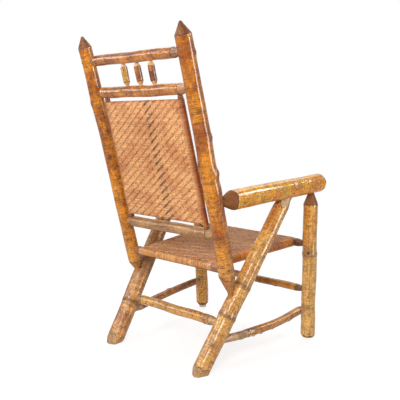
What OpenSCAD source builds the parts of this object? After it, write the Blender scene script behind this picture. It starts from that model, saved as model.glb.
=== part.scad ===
// Rustic pole armchair with a woven back and seat, in millimetres.
// The chair faces -Y, the sitter's left is +X, and the floor is z = 0.
// Poles keep their bark. Each one is whittled to a tenon where it enters the next.

/* [Back] */
// Height of the back posts' tips above the floor
overall_height = 1090; // [1060:1:1140]
// Backward lean of the back posts from upright, in degrees
back_lean = 13.8; // [11:0.1:16]
// Width between the centres of the back posts at their tips
back_width_top = 486; // [460:1:520]
// Width between the centres of the back posts where they meet the rear legs
back_width_foot = 471; // [455:1:490]
// How far the top of the back stands toward the sitter's left
back_sway = 6; // [0:0.5:10]
// Diameter of the left back post
left_post_d = 47; // [44:0.5:54]
// Diameter of the right back post
right_post_d = 52; // [44:0.5:54]
// Length of the whittled point on top of each back post
post_point_length = 38; // [30:1:48]
// Diameter of the blunt tip of each post's point
post_tip_d = 6; // [3:0.5:10]
// Length of the whittled lower end of each back post
post_foot_taper = 52; // [40:1:70]
// Height of the crest rail's centre
crest_height = 1007; // [990:1:1020]
// Diameter of the crest rail
crest_d = 33; // [30:0.5:40]
// Height of the upper back rail's centre
upper_rail_height = 903; // [880:1:920]
// Diameter of the upper back rail
upper_rail_d = 35; // [31:0.5:40]
// Height of the lower back rail's centre
lower_rail_height = 443; // [430:1:470]
// Diameter of the lower back rail
lower_rail_d = 38; // [32:0.5:42]
// Diameter of the three spindles
spindle_d = 19; // [17:0.5:25]
// Distance between neighbouring spindles
spindle_pitch = 67; // [50:1:80]
// Sideways place of the middle spindle, off the chair's centre line
spindle_shift = -5; // [-15:1:15]
// Length of the whittled end of a spindle
spindle_taper = 11; // [8:1:14]

/* [Legs] */
// Distance from the front feet to the rear feet, centre to centre
base_depth = 523; // [505:1:545]
// Forward slope of the rear legs from upright, in degrees
rear_leg_lean = 35.4; // [34:0.1:37]
// Height where a back post's centre line meets the rear leg's
brace_height = 201; // [190:1:215]
// Diameter of the left rear leg
left_rear_leg_d = 62; // [54:0.5:66]
// Diameter of the right rear leg
right_rear_leg_d = 58; // [54:0.5:66]
// How much slimmer a rear leg is under the arm than at its foot
rear_leg_slimming = 5; // [0:0.5:8]
// Length of the whittled foot of a rear leg
rear_foot_taper = 18; // [12:1:40]
// Diameter of the left rear leg's foot where it meets the floor
left_rear_foot_d = 52; // [40:1:54]
// Diameter of the right rear leg's foot where it meets the floor
right_rear_foot_d = 44; // [36:1:50]
// Length of the whittled top of a rear leg under the arm
rear_top_taper = 22; // [16:1:32]
// Diameter of a rear leg's top where it meets the arm
rear_top_d = 45; // [34:1:48]
// Width between the centres of the front legs at the floor
front_width_foot = 545; // [525:1:570]
// Width between the centres of the front legs under the arms
front_width_arm = 568; // [550:1:590]
// Backward lean of the front legs from upright, in degrees
front_leg_lean = 0.8; // [0:0.1:2]
// Diameter of the front legs
front_leg_d = 52; // [46:0.5:58]
// Length of the whittled cone on top of a front leg
front_cone_length = 37; // [28:1:46]
// Length of the whittled lower edge of a front leg
front_foot_taper = 12; // [6:1:20]

/* [Arms] */
// Height of the arm's centre line at the back post
arm_rear_height = 549; // [535:1:565]
// Height of the arm's centre line over the front leg
arm_front_height = 574; // [560:1:590]
// Diameter of the arms
arm_d = 66; // [60:0.5:72]
// Length of the arm in front of the front leg's centre
arm_overhang = 64; // [55:1:90]
// Length of the whittled cone at the rear of each arm
arm_cone_length = 45; // [35:1:55]
// Length of the whittled edge at the front of each arm
arm_front_taper = 22; // [12:1:30]
// Diameter of the flat front end of each arm
arm_end_d = 34; // [24:1:44]

/* [Seat] */
// Height of the rear seat rail's centre
seat_rear_height = 330; // [318:1:345]
// Height of the front seat rail's centre
seat_front_height = 357; // [345:1:375]
// Diameter of the four seat rails
seat_rail_d = 30; // [27:0.5:34]
// Width between the side seat rails' centres at the rear
seat_width_rear = 322; // [300:1:340]
// Width between the side seat rails' centres at the front
seat_width_front = 408; // [380:1:430]

/* [Stretchers] */
// Height of the rear stretcher's centre
rear_stretcher_height = 146; // [140:1:152]
// Diameter of the rear stretcher
rear_stretcher_d = 34; // [29:0.5:38]
// Height of the front stretcher's centre
front_stretcher_height = 181; // [165:1:200]
// Diameter of the front stretcher
front_stretcher_d = 28; // [25:0.5:34]
// Height of the left stretcher's centre in the rear leg
left_stretcher_rear_height = 93; // [84:1:100]
// Height of the right stretcher's centre in the rear leg
right_stretcher_rear_height = 88; // [84:1:100]
// Height of the left stretcher's centre in the front leg
left_stretcher_front_height = 125; // [105:1:130]
// Height of the right stretcher's centre in the front leg
right_stretcher_front_height = 116; // [105:1:130]
// Diameter of the side stretchers
side_stretcher_d = 29; // [26:0.5:33]
// How far the left stretcher bows down in the middle
left_bow = 3; // [1:0.5:8]
// How far the right stretcher bows down in the middle
right_bow = 10; // [1:0.5:14]

/* [Weave] */
// Diameter of the four slim rods in the back panel
panel_rod_d = 18; // [15:0.5:20]
// Width between the side panel rods' centres at the upper rail
panel_width_top = 349; // [320:1:380]
// Width between the side panel rods' centres at the lower rail
panel_width_foot = 363; // [330:1:390]
// Open gap between the woven back and the upper rail
panel_gap_top = 14; // [6:1:20]
// Open gap between the woven back and the lower rail
panel_gap_foot = 12; // [6:1:24]
// Thickness of the woven cane
weave_t = 2.2; // [1.5:0.1:3.5]

/* [Joints] */
// Diameter of the tenons on the rails and stretchers
rail_tenon_d = 21; // [16:0.5:23]
// Diameter of the tenons at the arms' ends and on the legs' tops
arm_tenon_d = 24; // [18:0.5:26]
// Diameter of the tenons on the back posts' lower ends
post_tenon_d = 19; // [15:0.5:24]
// Diameter of the tenons on the side seat rails
seat_tenon_d = 17; // [13:0.5:20]
// Diameter of the tenons on spindles and panel rods
small_tenon_d = 12; // [9:0.5:14]
// How far a tenon runs past the centre line of the pole that it enters
tenon_past = 5; // [3:0.5:7]
// Depth of a small tenon in its rail
small_tenon_depth = 14; // [9:0.5:16]
// Length of the whittled shoulder at each end of a rail
shoulder_length = 24; // [14:1:34]
// Bare neck between a shoulder and the pole that the tenon enters
neck = 2; // [1:0.5:6]
// Clearance round a tenon in its mortise
fit = 0.1; // [0.05:0.05:0.3]
// Clearance at the bottom of a mortise
mortise_end_gap = 0.8; // [0.3:0.1:2]

/* [Nails and glides] */
// Diameter of a joint nail's shank
nail_d = 2; // [1.6:0.1:3]
// Diameter of a joint nail's head
nail_head_d = 4.6; // [3.5:0.1:6]
// Thickness of a nail's or tack's head
nail_head_t = 0.9; // [0.6:0.1:1.5]
// Diameter of a weave tack's head
tack_head_d = 5.5; // [4:0.1:7]
// Length of a weave tack's shank
tack_length = 11; // [7:0.5:13]
// Distance of a tack from the corner of the woven back
tack_inset = 14; // [8:1:25]
// Diameter of the front glides
glide_d = 31; // [24:1:38]
// Height of the front glides
glide_height = 9; // [6:0.5:12]
// Length of the glide's pin inside the leg
glide_pin_length = 24; // [14:1:30]

/* [Hidden] */
$fn = 48;

// Small amount by which a cutter reaches past what it cuts
past = 1;
// How far a nail runs past the middle of the tenon that it pins
nail_depth = small_tenon_d / 2;
left = 1;
right = -1;
sides = [left, right];
up = [0, 0, 1];

// Lines and directions
function unit(v) = v / norm(v);
function at_height(p, v, z) = p + v * (z - p[2]) / v[2];
function pick(side, l, r) = side == left ? l : r;
// Distance along v from a host pole's centre line at which a ring of radius r round v clears the host
function reach(host_r, host_v, v, r = 0) =
    let (c = abs(host_v * v)) (host_r + r * c) / sqrt(1 - c * c);

// Radii
function post_r(side) = pick(side, left_post_d, right_post_d) / 2;
function rear_leg_r(side) = pick(side, left_rear_leg_d, right_rear_leg_d) / 2;
function rear_foot_r(side) = pick(side, left_rear_foot_d, right_rear_foot_d) / 2;
front_leg_r = front_leg_d / 2;
arm_r = arm_d / 2;
seat_rail_r = seat_rail_d / 2;
panel_rod_r = panel_rod_d / 2;

// Side view of the frame: the rear leg's and the back post's centre lines cross at the brace
rear_foot_y = base_depth / 2;
front_foot_y = -base_depth / 2;
brace_y = rear_foot_y - brace_height * tan(rear_leg_lean);

// Back posts, from the brace to the tip
function brace(side) = [side * back_width_foot / 2, brace_y, brace_height];
function post_tip(side) = [
    back_sway + side * back_width_top / 2,
    brace_y + (overall_height - brace_height) * tan(back_lean),
    overall_height
];
function post_dir(side) = unit(post_tip(side) - brace(side));
function post_at(side, z) = at_height(brace(side), post_dir(side), z);
// Square to the back's plane, pointing behind the chair
back_normal = [0, cos(back_lean), -sin(back_lean)];

// Front legs, from the floor to the arm's centre line
function front_foot(side) = [side * front_width_foot / 2, front_foot_y, 0];
function front_top(side) = [
    side * front_width_arm / 2,
    front_foot_y + arm_front_height * tan(front_leg_lean),
    arm_front_height
];
function front_dir(side) = unit(front_top(side) - front_foot(side));
function front_at(side, z) = at_height(front_foot(side), front_dir(side), z);

// Arms, from the back post's centre line over the front leg
function arm_rear(side) = post_at(side, arm_rear_height);
function arm_dir(side) = unit(front_top(side) - arm_rear(side));
function arm_length(side) = norm(front_top(side) - arm_rear(side)) + arm_overhang;

// Rear legs, through the brace to the arm's centre line; the side view gives where they meet
arm_slope = arm_dir(left)[2] / arm_dir(left)[1];
leg_slope = -1 / tan(rear_leg_lean);
rear_top_y = (arm_rear(left)[2] - arm_slope * arm_rear(left)[1] + leg_slope * rear_foot_y)
    / (leg_slope - arm_slope);
function rear_top(side) =
    arm_rear(side) + arm_dir(side) * (rear_top_y - arm_rear(side)[1]) / arm_dir(side)[1];
function rear_dir(side) = unit(rear_top(side) - brace(side));
function rear_at(side, z) = at_height(brace(side), rear_dir(side), z);

// Heights of the side stretchers' ends
function stretcher_rear_z(side) =
    pick(side, left_stretcher_rear_height, right_stretcher_rear_height);
function stretcher_front_z(side) =
    pick(side, left_stretcher_front_height, right_stretcher_front_height);

// The chair's box is centred on the origin. The arms' front ends reach furthest to the sides.
function arm_reach(side) =
    let (v = arm_dir(side), tilt = sqrt(1 - pow(v[0], 2)), end = arm_rear(side) + v * arm_length(side))
        side * max(
            abs(end[0] - v[0] * arm_front_taper) + arm_r * tilt,
            abs(end[0]) + arm_end_d / 2 * tilt
        );
box_middle_x = (arm_reach(left) + arm_reach(right)) / 2;
front_reach = arm_rear(left)[1] + arm_dir(left)[1] * arm_length(left)
    - arm_end_d / 2 * sqrt(1 - pow(arm_dir(left)[1], 2));
point_base = post_tip(left) - post_dir(left) * post_point_length;
back_reach = point_base[1] + max(post_r(left), post_r(right)) * sqrt(1 - pow(post_dir(left)[1], 2));
box_middle_y = (front_reach + back_reach) / 2;

// The direction square to a and b that points out of the chair on this side
function outward(side, a, b) = let (n = unit(cross(a, b))) n[0] * side > 0 ? n : -n;

// A joint: a point on the host's centre line, the host's direction and radius, the direction
// in which the tenoned piece leaves, the side that the nail is driven from, and where the tenon
// starts, counted from the centre line
function joint(p, host_v, host_r, v, nail_v, start) = [p, host_v, host_r, v, nail_v, start];
function post_joint(side, z) =
    joint(post_at(side, z), post_dir(side), post_r(side), [-side, 0, 0], back_normal, -tenon_past);
function rear_joint(side, z) =
    joint(rear_at(side, z), rear_dir(side), rear_leg_r(side), [-side, 0, 0],
        unit(cross(rear_dir(side), [1, 0, 0])), -tenon_past);
function front_joint(side, z) =
    joint(front_at(side, z), front_dir(side), front_leg_r, [-side, 0, 0], [0, -1, 0], -tenon_past);
function side_dir(side) = unit(
    front_at(side, stretcher_front_z(side)) - rear_at(side, stretcher_rear_z(side))
);
function side_rear_joint(side) =
    joint(rear_at(side, stretcher_rear_z(side)), rear_dir(side), rear_leg_r(side),
        side_dir(side), outward(side, side_dir(side), rear_dir(side)), -tenon_past);
function side_front_joint(side) =
    joint(front_at(side, stretcher_front_z(side)), front_dir(side), front_leg_r,
        -side_dir(side), outward(side, side_dir(side), front_dir(side)), -tenon_past);
function arm_post_joint(side) =
    joint(arm_rear(side), post_dir(side), post_r(side), arm_dir(side),
        outward(side, arm_dir(side), post_dir(side)), -tenon_past);
function rear_arm_joint(side) =
    joint(rear_top(side), arm_dir(side), arm_r, -rear_dir(side),
        outward(side, arm_dir(side), rear_dir(side)), -tenon_past);
function front_arm_joint(side) =
    joint(front_top(side), arm_dir(side), arm_r, -front_dir(side),
        outward(side, arm_dir(side), front_dir(side)), -tenon_past);
function brace_joint(side) =
    joint(brace(side), rear_dir(side), rear_leg_r(side), post_dir(side),
        outward(side, rear_dir(side), post_dir(side)), -tenon_past);

// Distance from the host's centre line to its skin, for a ring of radius r
function skin_at(j, r) = reach(j[2], j[1], j[3], r);

// Joints by the pole that holds the mortises
function post_rail_joints(side) = [
    for (z = [crest_height, upper_rail_height, lower_rail_height, seat_rear_height])
        post_joint(side, z)
];
function rear_rail_joints(side) = [rear_joint(side, rear_stretcher_height), side_rear_joint(side)];
function front_rail_joints(side) = [
    front_joint(side, seat_front_height),
    front_joint(side, front_stretcher_height),
    side_front_joint(side)
];

// Placing and cutting
module centred() {
    translate([-box_middle_x, -box_middle_y, 0]) children();
}

module along(p, v) {
    translate(p) rotate([0, acos(v[2] / norm(v)), atan2(v[1], v[0])]) children();
}

// A turned solid: rows of [distance along v, radius]
module turned(p, v, rows) {
    first = rows[0];
    last = rows[len(rows) - 1];
    along(p, v)
        rotate_extrude()
            polygon(concat([[0, first[0]]], [for (row = rows) [row[1], row[0]]], [[0, last[0]]]));
}

module mortise(j, tenon_r) {
    start = j[5] - mortise_end_gap;
    along(j[0] + j[3] * start, j[3])
        cylinder(h = skin_at(j, tenon_r) - start + past, r = tenon_r + fit);
}

module nail_hole(j) {
    along(j[0] + j[4] * (j[2] + past), -j[4])
        cylinder(h = j[2] + past + nail_depth, r = nail_d / 2 + fit / 2, $fn = 24);
}

module nail(j) {
    along(j[0] + j[4] * (j[2] + nail_head_t), -j[4]) {
        cylinder(h = nail_head_t, r = nail_head_d / 2, $fn = 24);
        cylinder(h = nail_head_t + j[2] + nail_depth - mortise_end_gap, r = nail_d / 2, $fn = 24);
    }
}

module nail_holes(joints) {
    for (j = joints) nail_hole(j);
}

// A straight pole between two joints, with a whittled shoulder and a tenon at each end
module rail(ja, jb, d, tenon_d, shoulder) {
    length = norm(jb[0] - ja[0]);
    tenon_r = tenon_d / 2;
    neck_a = skin_at(ja, tenon_r) + neck;
    neck_b = length - skin_at(jb, tenon_r) - neck;
    turned(ja[0], ja[3], [
        [ja[5], tenon_r],
        [neck_a, tenon_r],
        [neck_a + shoulder, d / 2],
        [neck_b - shoulder, d / 2],
        [neck_b, tenon_r],
        [length - jb[5], tenon_r]
    ]);
}

module cross_rail(ja, jb, d) {
    difference() {
        rail(ja, jb, d, rail_tenon_d, shoulder_length);
        nail_holes([ja, jb]);
    }
}

// Poles
module back_post(side) {
    r = post_r(side);
    whole = norm(post_tip(side) - brace(side));
    foot = brace_joint(side);
    skin = skin_at(foot, post_tenon_d / 2);
    color("#a86a24") difference() {
        turned(brace(side), post_dir(side), [
            [foot[5], post_tenon_d / 2],
            [skin + neck, post_tenon_d / 2],
            [skin + neck + post_foot_taper, r],
            [whole - post_point_length, r],
            [whole, post_tip_d / 2]
        ]);
        for (j = post_rail_joints(side)) mortise(j, rail_tenon_d / 2);
        mortise(arm_post_joint(side), arm_tenon_d / 2);
        nail_holes(concat(post_rail_joints(side), [arm_post_joint(side), foot]));
    }
}

module rear_leg(side) {
    r = rear_leg_r(side);
    floor_point = rear_at(side, 0);
    whole = norm(rear_top(side) - floor_point);
    top = rear_arm_joint(side);
    tenon_r = arm_tenon_d / 2;
    skin = skin_at(top, 0);
    foot_r = rear_foot_r(side);
    // The foot's taper goes on under the floor line, where the floor's cut ends it
    below = foot_r;
    below_r = foot_r - below * (r - foot_r) / rear_foot_taper;
    color("#b9802f") difference() {
        union() {
            difference() {
                turned(floor_point, rear_dir(side), [
                    [-below, below_r],
                    [rear_foot_taper, r],
                    [brace_height / cos(rear_leg_lean), r],
                    [whole - skin - rear_top_taper, r - rear_leg_slimming / 2],
                    [whole - skin, rear_top_d / 2],
                    [whole - skin + rear_top_d, rear_top_d / 2]
                ]);
                along(arm_rear(side), arm_dir(side)) cylinder(h = arm_length(side), r = arm_r + fit);
                translate([0, 0, -2 * r]) translate(floor_point) cube(4 * r, center = true);
            }
            turned(rear_top(side), -rear_dir(side), [
                [top[5], tenon_r],
                [skin + rear_top_taper, tenon_r]
            ]);
        }
        for (j = rear_rail_joints(side)) mortise(j, rail_tenon_d / 2);
        mortise(brace_joint(side), post_tenon_d / 2);
        nail_holes(concat(rear_rail_joints(side), [brace_joint(side), top]));
    }
}

module front_leg(side) {
    top = front_arm_joint(side);
    whole = norm(front_top(side) - front_foot(side));
    tenon_r = arm_tenon_d / 2;
    skin = skin_at(top, tenon_r);
    // The leg's end is square to the leg, and its lowest edge just clears the glide's flat top
    v = front_dir(side);
    start = (glide_height + fit + glide_d / 2 * sqrt(1 - v[2] * v[2])) / v[2];
    color("#c08a38") difference() {
        turned(front_foot(side), v, [
            [start, glide_d / 2],
            [start + front_foot_taper, front_leg_r],
            [whole - skin - neck - front_cone_length, front_leg_r],
            [whole - skin - neck, tenon_r],
            [whole - top[5], tenon_r]
        ]);
        glide_pin(side, fit);
        for (j = front_rail_joints(side)) mortise(j, rail_tenon_d / 2);
        nail_holes(concat(front_rail_joints(side), [top]));
    }
}

module arm(side) {
    rear = arm_post_joint(side);
    tenon_r = arm_tenon_d / 2;
    skin = skin_at(rear, tenon_r);
    whole = arm_length(side);
    color("#c98a1e") difference() {
        turned(arm_rear(side), arm_dir(side), [
            [rear[5], tenon_r],
            [skin + neck, tenon_r],
            [skin + neck + arm_cone_length, arm_r],
            [whole - arm_front_taper, arm_r],
            [whole, arm_end_d / 2]
        ]);
        for (j = [rear_arm_joint(side), front_arm_joint(side)]) mortise(j, tenon_r);
        nail_holes([rear, rear_arm_joint(side), front_arm_joint(side)]);
    }
}

// Back rails, spindles and panel rods
// Middle of a back rail at height z
function back_middle(z) = [0, post_at(left, z)[1], z];
back_up = [0, sin(back_lean), cos(back_lean)];
cross_v = [1, 0, 0];
// A small tenon's joint with a cross pole of diameter d
function small_joint(p, d, v) =
    joint(p, cross_v, d / 2, v, back_normal, reach(d / 2, cross_v, v) - small_tenon_depth);
function spindle_joints(i) =
    let (x = [spindle_shift + i * spindle_pitch, 0, 0])
        [small_joint(back_middle(upper_rail_height) + x, upper_rail_d, back_up),
         small_joint(back_middle(crest_height) + x, crest_d, -back_up)];

// Side panel rods, from the lower rail's centre line to the upper rail's
function rod_foot(side) = back_middle(lower_rail_height) + [side * panel_width_foot / 2, 0, 0];
function rod_top(side) = back_middle(upper_rail_height) + [side * panel_width_top / 2, 0, 0];
function rod_dir(side) = unit(rod_top(side) - rod_foot(side));
function rod_joints(side) = [
    small_joint(rod_foot(side), lower_rail_d, rod_dir(side)),
    small_joint(rod_top(side), upper_rail_d, -rod_dir(side))
];
panel_height = norm(back_middle(upper_rail_height) - back_middle(lower_rail_height));
wrap_r = panel_rod_r + weave_t;
panel_low = lower_rail_d / 2 + panel_gap_foot + wrap_r;
panel_high = panel_height - upper_rail_d / 2 - panel_gap_top - wrap_r;
// A point on a side rod's centre line, at distance s above the lower rail
function panel_point(side, s) =
    rod_foot(side) + (rod_top(side) - rod_foot(side)) * s / panel_height;
// The cross rods' tenons are slimmer than the side rods that they enter, and stay inside them
rod_tenon_d = panel_rod_d * 0.55;
rod_tenon_past = panel_rod_d * 0.2;
function panel_joint(side, s) =
    joint(panel_point(side, s), rod_dir(side), panel_rod_r, [-side, 0, 0], back_normal, -rod_tenon_past);

module back_rail(z, d, joints) {
    difference() {
        cross_rail(post_joint(left, z), post_joint(right, z), d);
        for (j = joints) mortise(j, small_tenon_d / 2);
    }
}

module crest_rail() {
    color("#a8702c") back_rail(crest_height, crest_d, [for (i = [-1 : 1]) spindle_joints(i)[1]]);
}

module upper_back_rail() {
    color("#a8702c")
        back_rail(upper_rail_height, upper_rail_d, concat(
            [for (i = [-1 : 1]) spindle_joints(i)[0]],
            [for (side = sides) rod_joints(side)[1]]
        ));
}

module lower_back_rail() {
    color("#b98d55")
        back_rail(lower_rail_height, lower_rail_d, [for (side = sides) rod_joints(side)[0]]);
}

module spindle(i) {
    joints = spindle_joints(i);
    color("#8a5526") rail(joints[0], joints[1], spindle_d, small_tenon_d, spindle_taper);
}

module panel_rod(side) {
    joints = rod_joints(side);
    length = norm(rod_top(side) - rod_foot(side));
    color("#6b3418") difference() {
        union() {
            difference() {
                turned(rod_foot(side), rod_dir(side), [[0, panel_rod_r], [length, panel_rod_r]]);
                for (j = joints)
                    along(j[0], cross_v) cylinder(h = 4 * panel_rod_d, r = j[2] + fit, center = true);
            }
            turned(rod_foot(side), rod_dir(side), [
                [joints[0][5], small_tenon_d / 2],
                [length - joints[1][5], small_tenon_d / 2]
            ]);
        }
        for (s = [panel_low, panel_high]) mortise(panel_joint(side, s), rod_tenon_d / 2);
        tack_holes(side);
    }
}

module cross_rod(s) {
    color("#6b3418")
        rail(panel_joint(left, s), panel_joint(right, s), panel_rod_d, rod_tenon_d, panel_rod_r);
}

// Seat rails
seat_rear_y = post_at(left, seat_rear_height)[1];
seat_front_y = front_at(left, seat_front_height)[1];
function seat_corner(side, front) = [
    side * (front ? seat_width_front : seat_width_rear) / 2,
    front ? seat_front_y : seat_rear_y,
    front ? seat_front_height : seat_rear_height
];
function seat_dir(side) = unit(seat_corner(side, true) - seat_corner(side, false));
function seat_joint(side, front) =
    joint(seat_corner(side, front), cross_v, seat_rail_r, (front ? -1 : 1) * seat_dir(side), up,
        -tenon_past);

module rear_seat_rail() {
    color("#a9713a") difference() {
        cross_rail(post_joint(left, seat_rear_height), post_joint(right, seat_rear_height), seat_rail_d);
        for (side = sides) mortise(seat_joint(side, false), seat_tenon_d / 2);
    }
}

module front_seat_rail() {
    color("#4a2c18") difference() {
        cross_rail(front_joint(left, seat_front_height), front_joint(right, seat_front_height), seat_rail_d);
        for (side = sides) mortise(seat_joint(side, true), seat_tenon_d / 2);
    }
}

module side_seat_rail(side) {
    color("#8c5a30")
        rail(seat_joint(side, false), seat_joint(side, true), seat_rail_d, seat_tenon_d,
            seat_rail_r);
}

// Woven covers: a sleeve round each of four rods, and a flat face on each side between them.
// c holds the four crossings of the rods' centre lines, in order round the panel, and n is square
// to the panel. The sleeves stand a little proud of the faces, as wrapped cane does.
proud = 0.3;
module woven_cover(c, r, n) {
    difference() {
        union() {
            for (i = [0 : 3]) core(c[i], c[(i + 1) % 4], r + weave_t - slimmer(i));
            for (s = [-1, 1]) woven_face(c, n * s, r + fit + proud, weave_t - fit - 2 * proud);
        }
        for (i = [0 : 3]) core(c[i], c[(i + 1) % 4], r + fit + slimmer(i), 4 * r);
    }
}

// Every second sleeve is a trifle slimmer, so that it tucks under its neighbours at the corners
function slimmer(i) = i % 2 == 0 ? proud / 2 : 0;

// A cylinder along a rod's centre line, past both crossings by its own radius or by more
module core(a, b, r, more = 0) {
    v = unit(b - a);
    along(a - v * (r + more), v) cylinder(h = norm(b - a) + 2 * (r + more), r = r);
}

// One flat face, moved off the middle plane along n
module woven_face(c, n, start, t) {
    x = unit(c[1] - c[0]);
    y = cross(n, x);
    multmatrix([
        [x[0], y[0], n[0], c[0][0]],
        [x[1], y[1], n[1], c[0][1]],
        [x[2], y[2], n[2], c[0][2]],
        [0, 0, 0, 1]
    ])
        translate([0, 0, start])
            linear_extrude(t) polygon([for (p = c) [(p - c[0]) * x, (p - c[0]) * y]]);
}

module back_weave() {
    color("#c08a55") difference() {
        woven_cover([
            panel_point(left, panel_low), panel_point(right, panel_low),
            panel_point(right, panel_high), panel_point(left, panel_high)
        ], panel_rod_r, back_normal);
        for (side = sides) tack_holes(side);
    }
}

module seat_weave() {
    c = [
        seat_corner(left, false), seat_corner(right, false),
        seat_corner(right, true), seat_corner(left, true)
    ];
    color("#a9785a") woven_cover(c, seat_rail_r, unit(cross(c[1] - c[0], c[2] - c[1])));
}

// Stretchers
bow_lip = 0.6;
module rear_stretcher() {
    color("#b5812f")
        cross_rail(rear_joint(left, rear_stretcher_height), rear_joint(right, rear_stretcher_height),
            rear_stretcher_d);
}

module front_stretcher() {
    color("#a9742c")
        cross_rail(front_joint(left, front_stretcher_height), front_joint(right, front_stretcher_height),
            front_stretcher_d);
}

module bowed_stretcher(side, bow) {
    ja = side_rear_joint(side);
    jb = side_front_joint(side);
    v = ja[3];
    tenon_r = rail_tenon_d / 2;
    r = side_stretcher_d / 2;
    neck_a = skin_at(ja, tenon_r) + neck;
    neck_b = skin_at(jb, tenon_r) + neck;
    a = ja[0] + v * (neck_a + shoulder_length);
    b = jb[0] - v * (neck_b + shoulder_length);
    color("#b0762c") difference() {
        union() {
            bowed_end(ja, neck_a, tenon_r, r);
            bowed_end(jb, neck_b, tenon_r, r);
            arc_pole(a, b, bow, r);
        }
        nail_holes([ja, jb]);
    }
}

// A bowed pole's straight end. It reaches a little way inside the bow, and is slimmer than that by
// a lip all round, so that the bow's slope can't bring it out again.
module bowed_end(j, neck_at, tenon_r, r) {
    turned(j[0], j[3], [
        [j[5], tenon_r],
        [neck_at, tenon_r],
        [neck_at + shoulder_length, r - bow_lip],
        [neck_at + shoulder_length + 3 * bow_lip, r - bow_lip]
    ]);
}

// A round pole from a to b that sags below the straight line by bow
module arc_pole(a, b, bow, r) {
    y = unit(b - a);
    z = unit(cross(y, up));
    x = cross(y, z);
    half = norm(b - a) / 2;
    ring = (half * half + bow * bow) / (2 * bow);
    turn = asin(half / ring);
    middle = (a + b) / 2;
    multmatrix([
        [x[0], y[0], z[0], middle[0]],
        [x[1], y[1], z[1], middle[1]],
        [x[2], y[2], z[2], middle[2]],
        [0, 0, 0, 1]
    ])
        translate([bow - ring, 0, 0])
            rotate([0, 0, -turn])
                rotate_extrude(angle = 2 * turn, $fn = 720) translate([ring, 0]) circle(r, $fn = 48);
}

// Glides under the front legs
module glide_pin(side, gap) {
    translate([front_foot(side)[0], front_foot(side)[1], glide_height / 2])
        cylinder(h = glide_height / 2 + glide_pin_length + (gap > 0 ? mortise_end_gap : 0),
            r = nail_d + gap, $fn = 32);
}

module glide(side) {
    color("#e6e0d0") {
        translate([front_foot(side)[0], front_foot(side)[1], 0])
            rotate_extrude() polygon([
                [0, 0],
                [glide_d / 2 - glide_height / 2, 0],
                [glide_d / 2, glide_height / 2],
                [glide_d / 2, glide_height],
                [0, glide_height]
            ]);
        glide_pin(side, 0);
    }
}

// Nails through the tenons, and tacks that hold the back weave's corners
module joint_nails() {
    color("#3a3430")
        for (side = sides, j = concat(
            post_rail_joints(side), rear_rail_joints(side), front_rail_joints(side),
            [arm_post_joint(side), rear_arm_joint(side), front_arm_joint(side), brace_joint(side)]
        )) nail(j);
}

function tack_points(side) = [
    for (s = [panel_low + tack_inset, panel_high - tack_inset])
        panel_point(side, s) + back_normal * wrap_r
];

module tack_holes(side) {
    for (p = tack_points(side))
        along(p + back_normal * past, -back_normal)
            cylinder(h = tack_length + past + fit, r = nail_d / 2 + fit / 2, $fn = 24);
}

module weave_tacks() {
    color("#2e2a28")
        for (side = sides, p = tack_points(side))
            along(p + back_normal * nail_head_t, -back_normal) {
                cylinder(h = nail_head_t, r = tack_head_d / 2, $fn = 24);
                cylinder(h = nail_head_t + tack_length, r = nail_d / 2, $fn = 24);
            }
}

centred() back_post(left);  // left_back_post
centred() back_post(right);  // right_back_post
centred() rear_leg(left);  // left_rear_leg
centred() rear_leg(right);  // right_rear_leg
centred() front_leg(left);  // left_front_leg
centred() front_leg(right);  // right_front_leg
centred() arm(left);  // left_arm
centred() arm(right);  // right_arm
centred() crest_rail();
centred() upper_back_rail();
centred() lower_back_rail();
centred() spindle(1);  // left_spindle
centred() spindle(0);  // centre_spindle
centred() spindle(-1);  // right_spindle
centred() panel_rod(left);  // left_panel_rod
centred() panel_rod(right);  // right_panel_rod
centred() cross_rod(panel_high);  // top_panel_rod
centred() cross_rod(panel_low);  // bottom_panel_rod
centred() back_weave();
centred() rear_seat_rail();
centred() front_seat_rail();
centred() side_seat_rail(left);  // left_seat_rail
centred() side_seat_rail(right);  // right_seat_rail
centred() seat_weave();
centred() rear_stretcher();
centred() front_stretcher();
centred() bowed_stretcher(left, left_bow);  // left_stretcher
centred() bowed_stretcher(right, right_bow);  // right_stretcher
centred() glide(left);  // left_glide
centred() glide(right);  // right_glide
centred() joint_nails();
centred() weave_tacks();
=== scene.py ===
"""Dresses the CAD frame of a rustic pole armchair in bark, whittled wood and woven cane.

Sizes are in metres. The chair faces -Y, the sitter's left is +X and the floor is z = 0, as in the CAD part.
"""

import logging
import math
from dataclasses import dataclass, replace
from enum import Enum

import bmesh
import bpy
import numpy as np
from mathutils import Matrix, Vector


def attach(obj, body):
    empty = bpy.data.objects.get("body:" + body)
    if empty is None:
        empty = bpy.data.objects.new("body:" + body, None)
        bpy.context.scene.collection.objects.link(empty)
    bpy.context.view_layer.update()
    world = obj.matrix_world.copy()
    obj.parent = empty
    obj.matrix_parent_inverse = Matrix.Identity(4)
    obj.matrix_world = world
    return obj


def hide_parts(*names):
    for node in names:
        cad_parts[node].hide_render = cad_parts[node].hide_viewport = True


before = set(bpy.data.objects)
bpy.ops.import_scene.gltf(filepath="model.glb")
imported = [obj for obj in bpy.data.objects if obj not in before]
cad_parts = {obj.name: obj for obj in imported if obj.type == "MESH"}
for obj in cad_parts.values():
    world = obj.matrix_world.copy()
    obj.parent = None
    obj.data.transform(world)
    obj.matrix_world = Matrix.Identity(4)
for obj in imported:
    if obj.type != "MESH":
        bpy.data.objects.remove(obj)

log = logging.getLogger("armchair")
Pair = tuple[float, float]
Triple = tuple[float, float, float]
Colour = Triple
Array = np.ndarray
Socket = bpy.types.NodeSocket
Node = bpy.types.Node
Tree = bpy.types.NodeTree
Material = bpy.types.Material
BMesh = bmesh.types.BMesh
Whittled = tuple[Array, Array, Array]
Strands = tuple[Array, Array, Array, Array]


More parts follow.
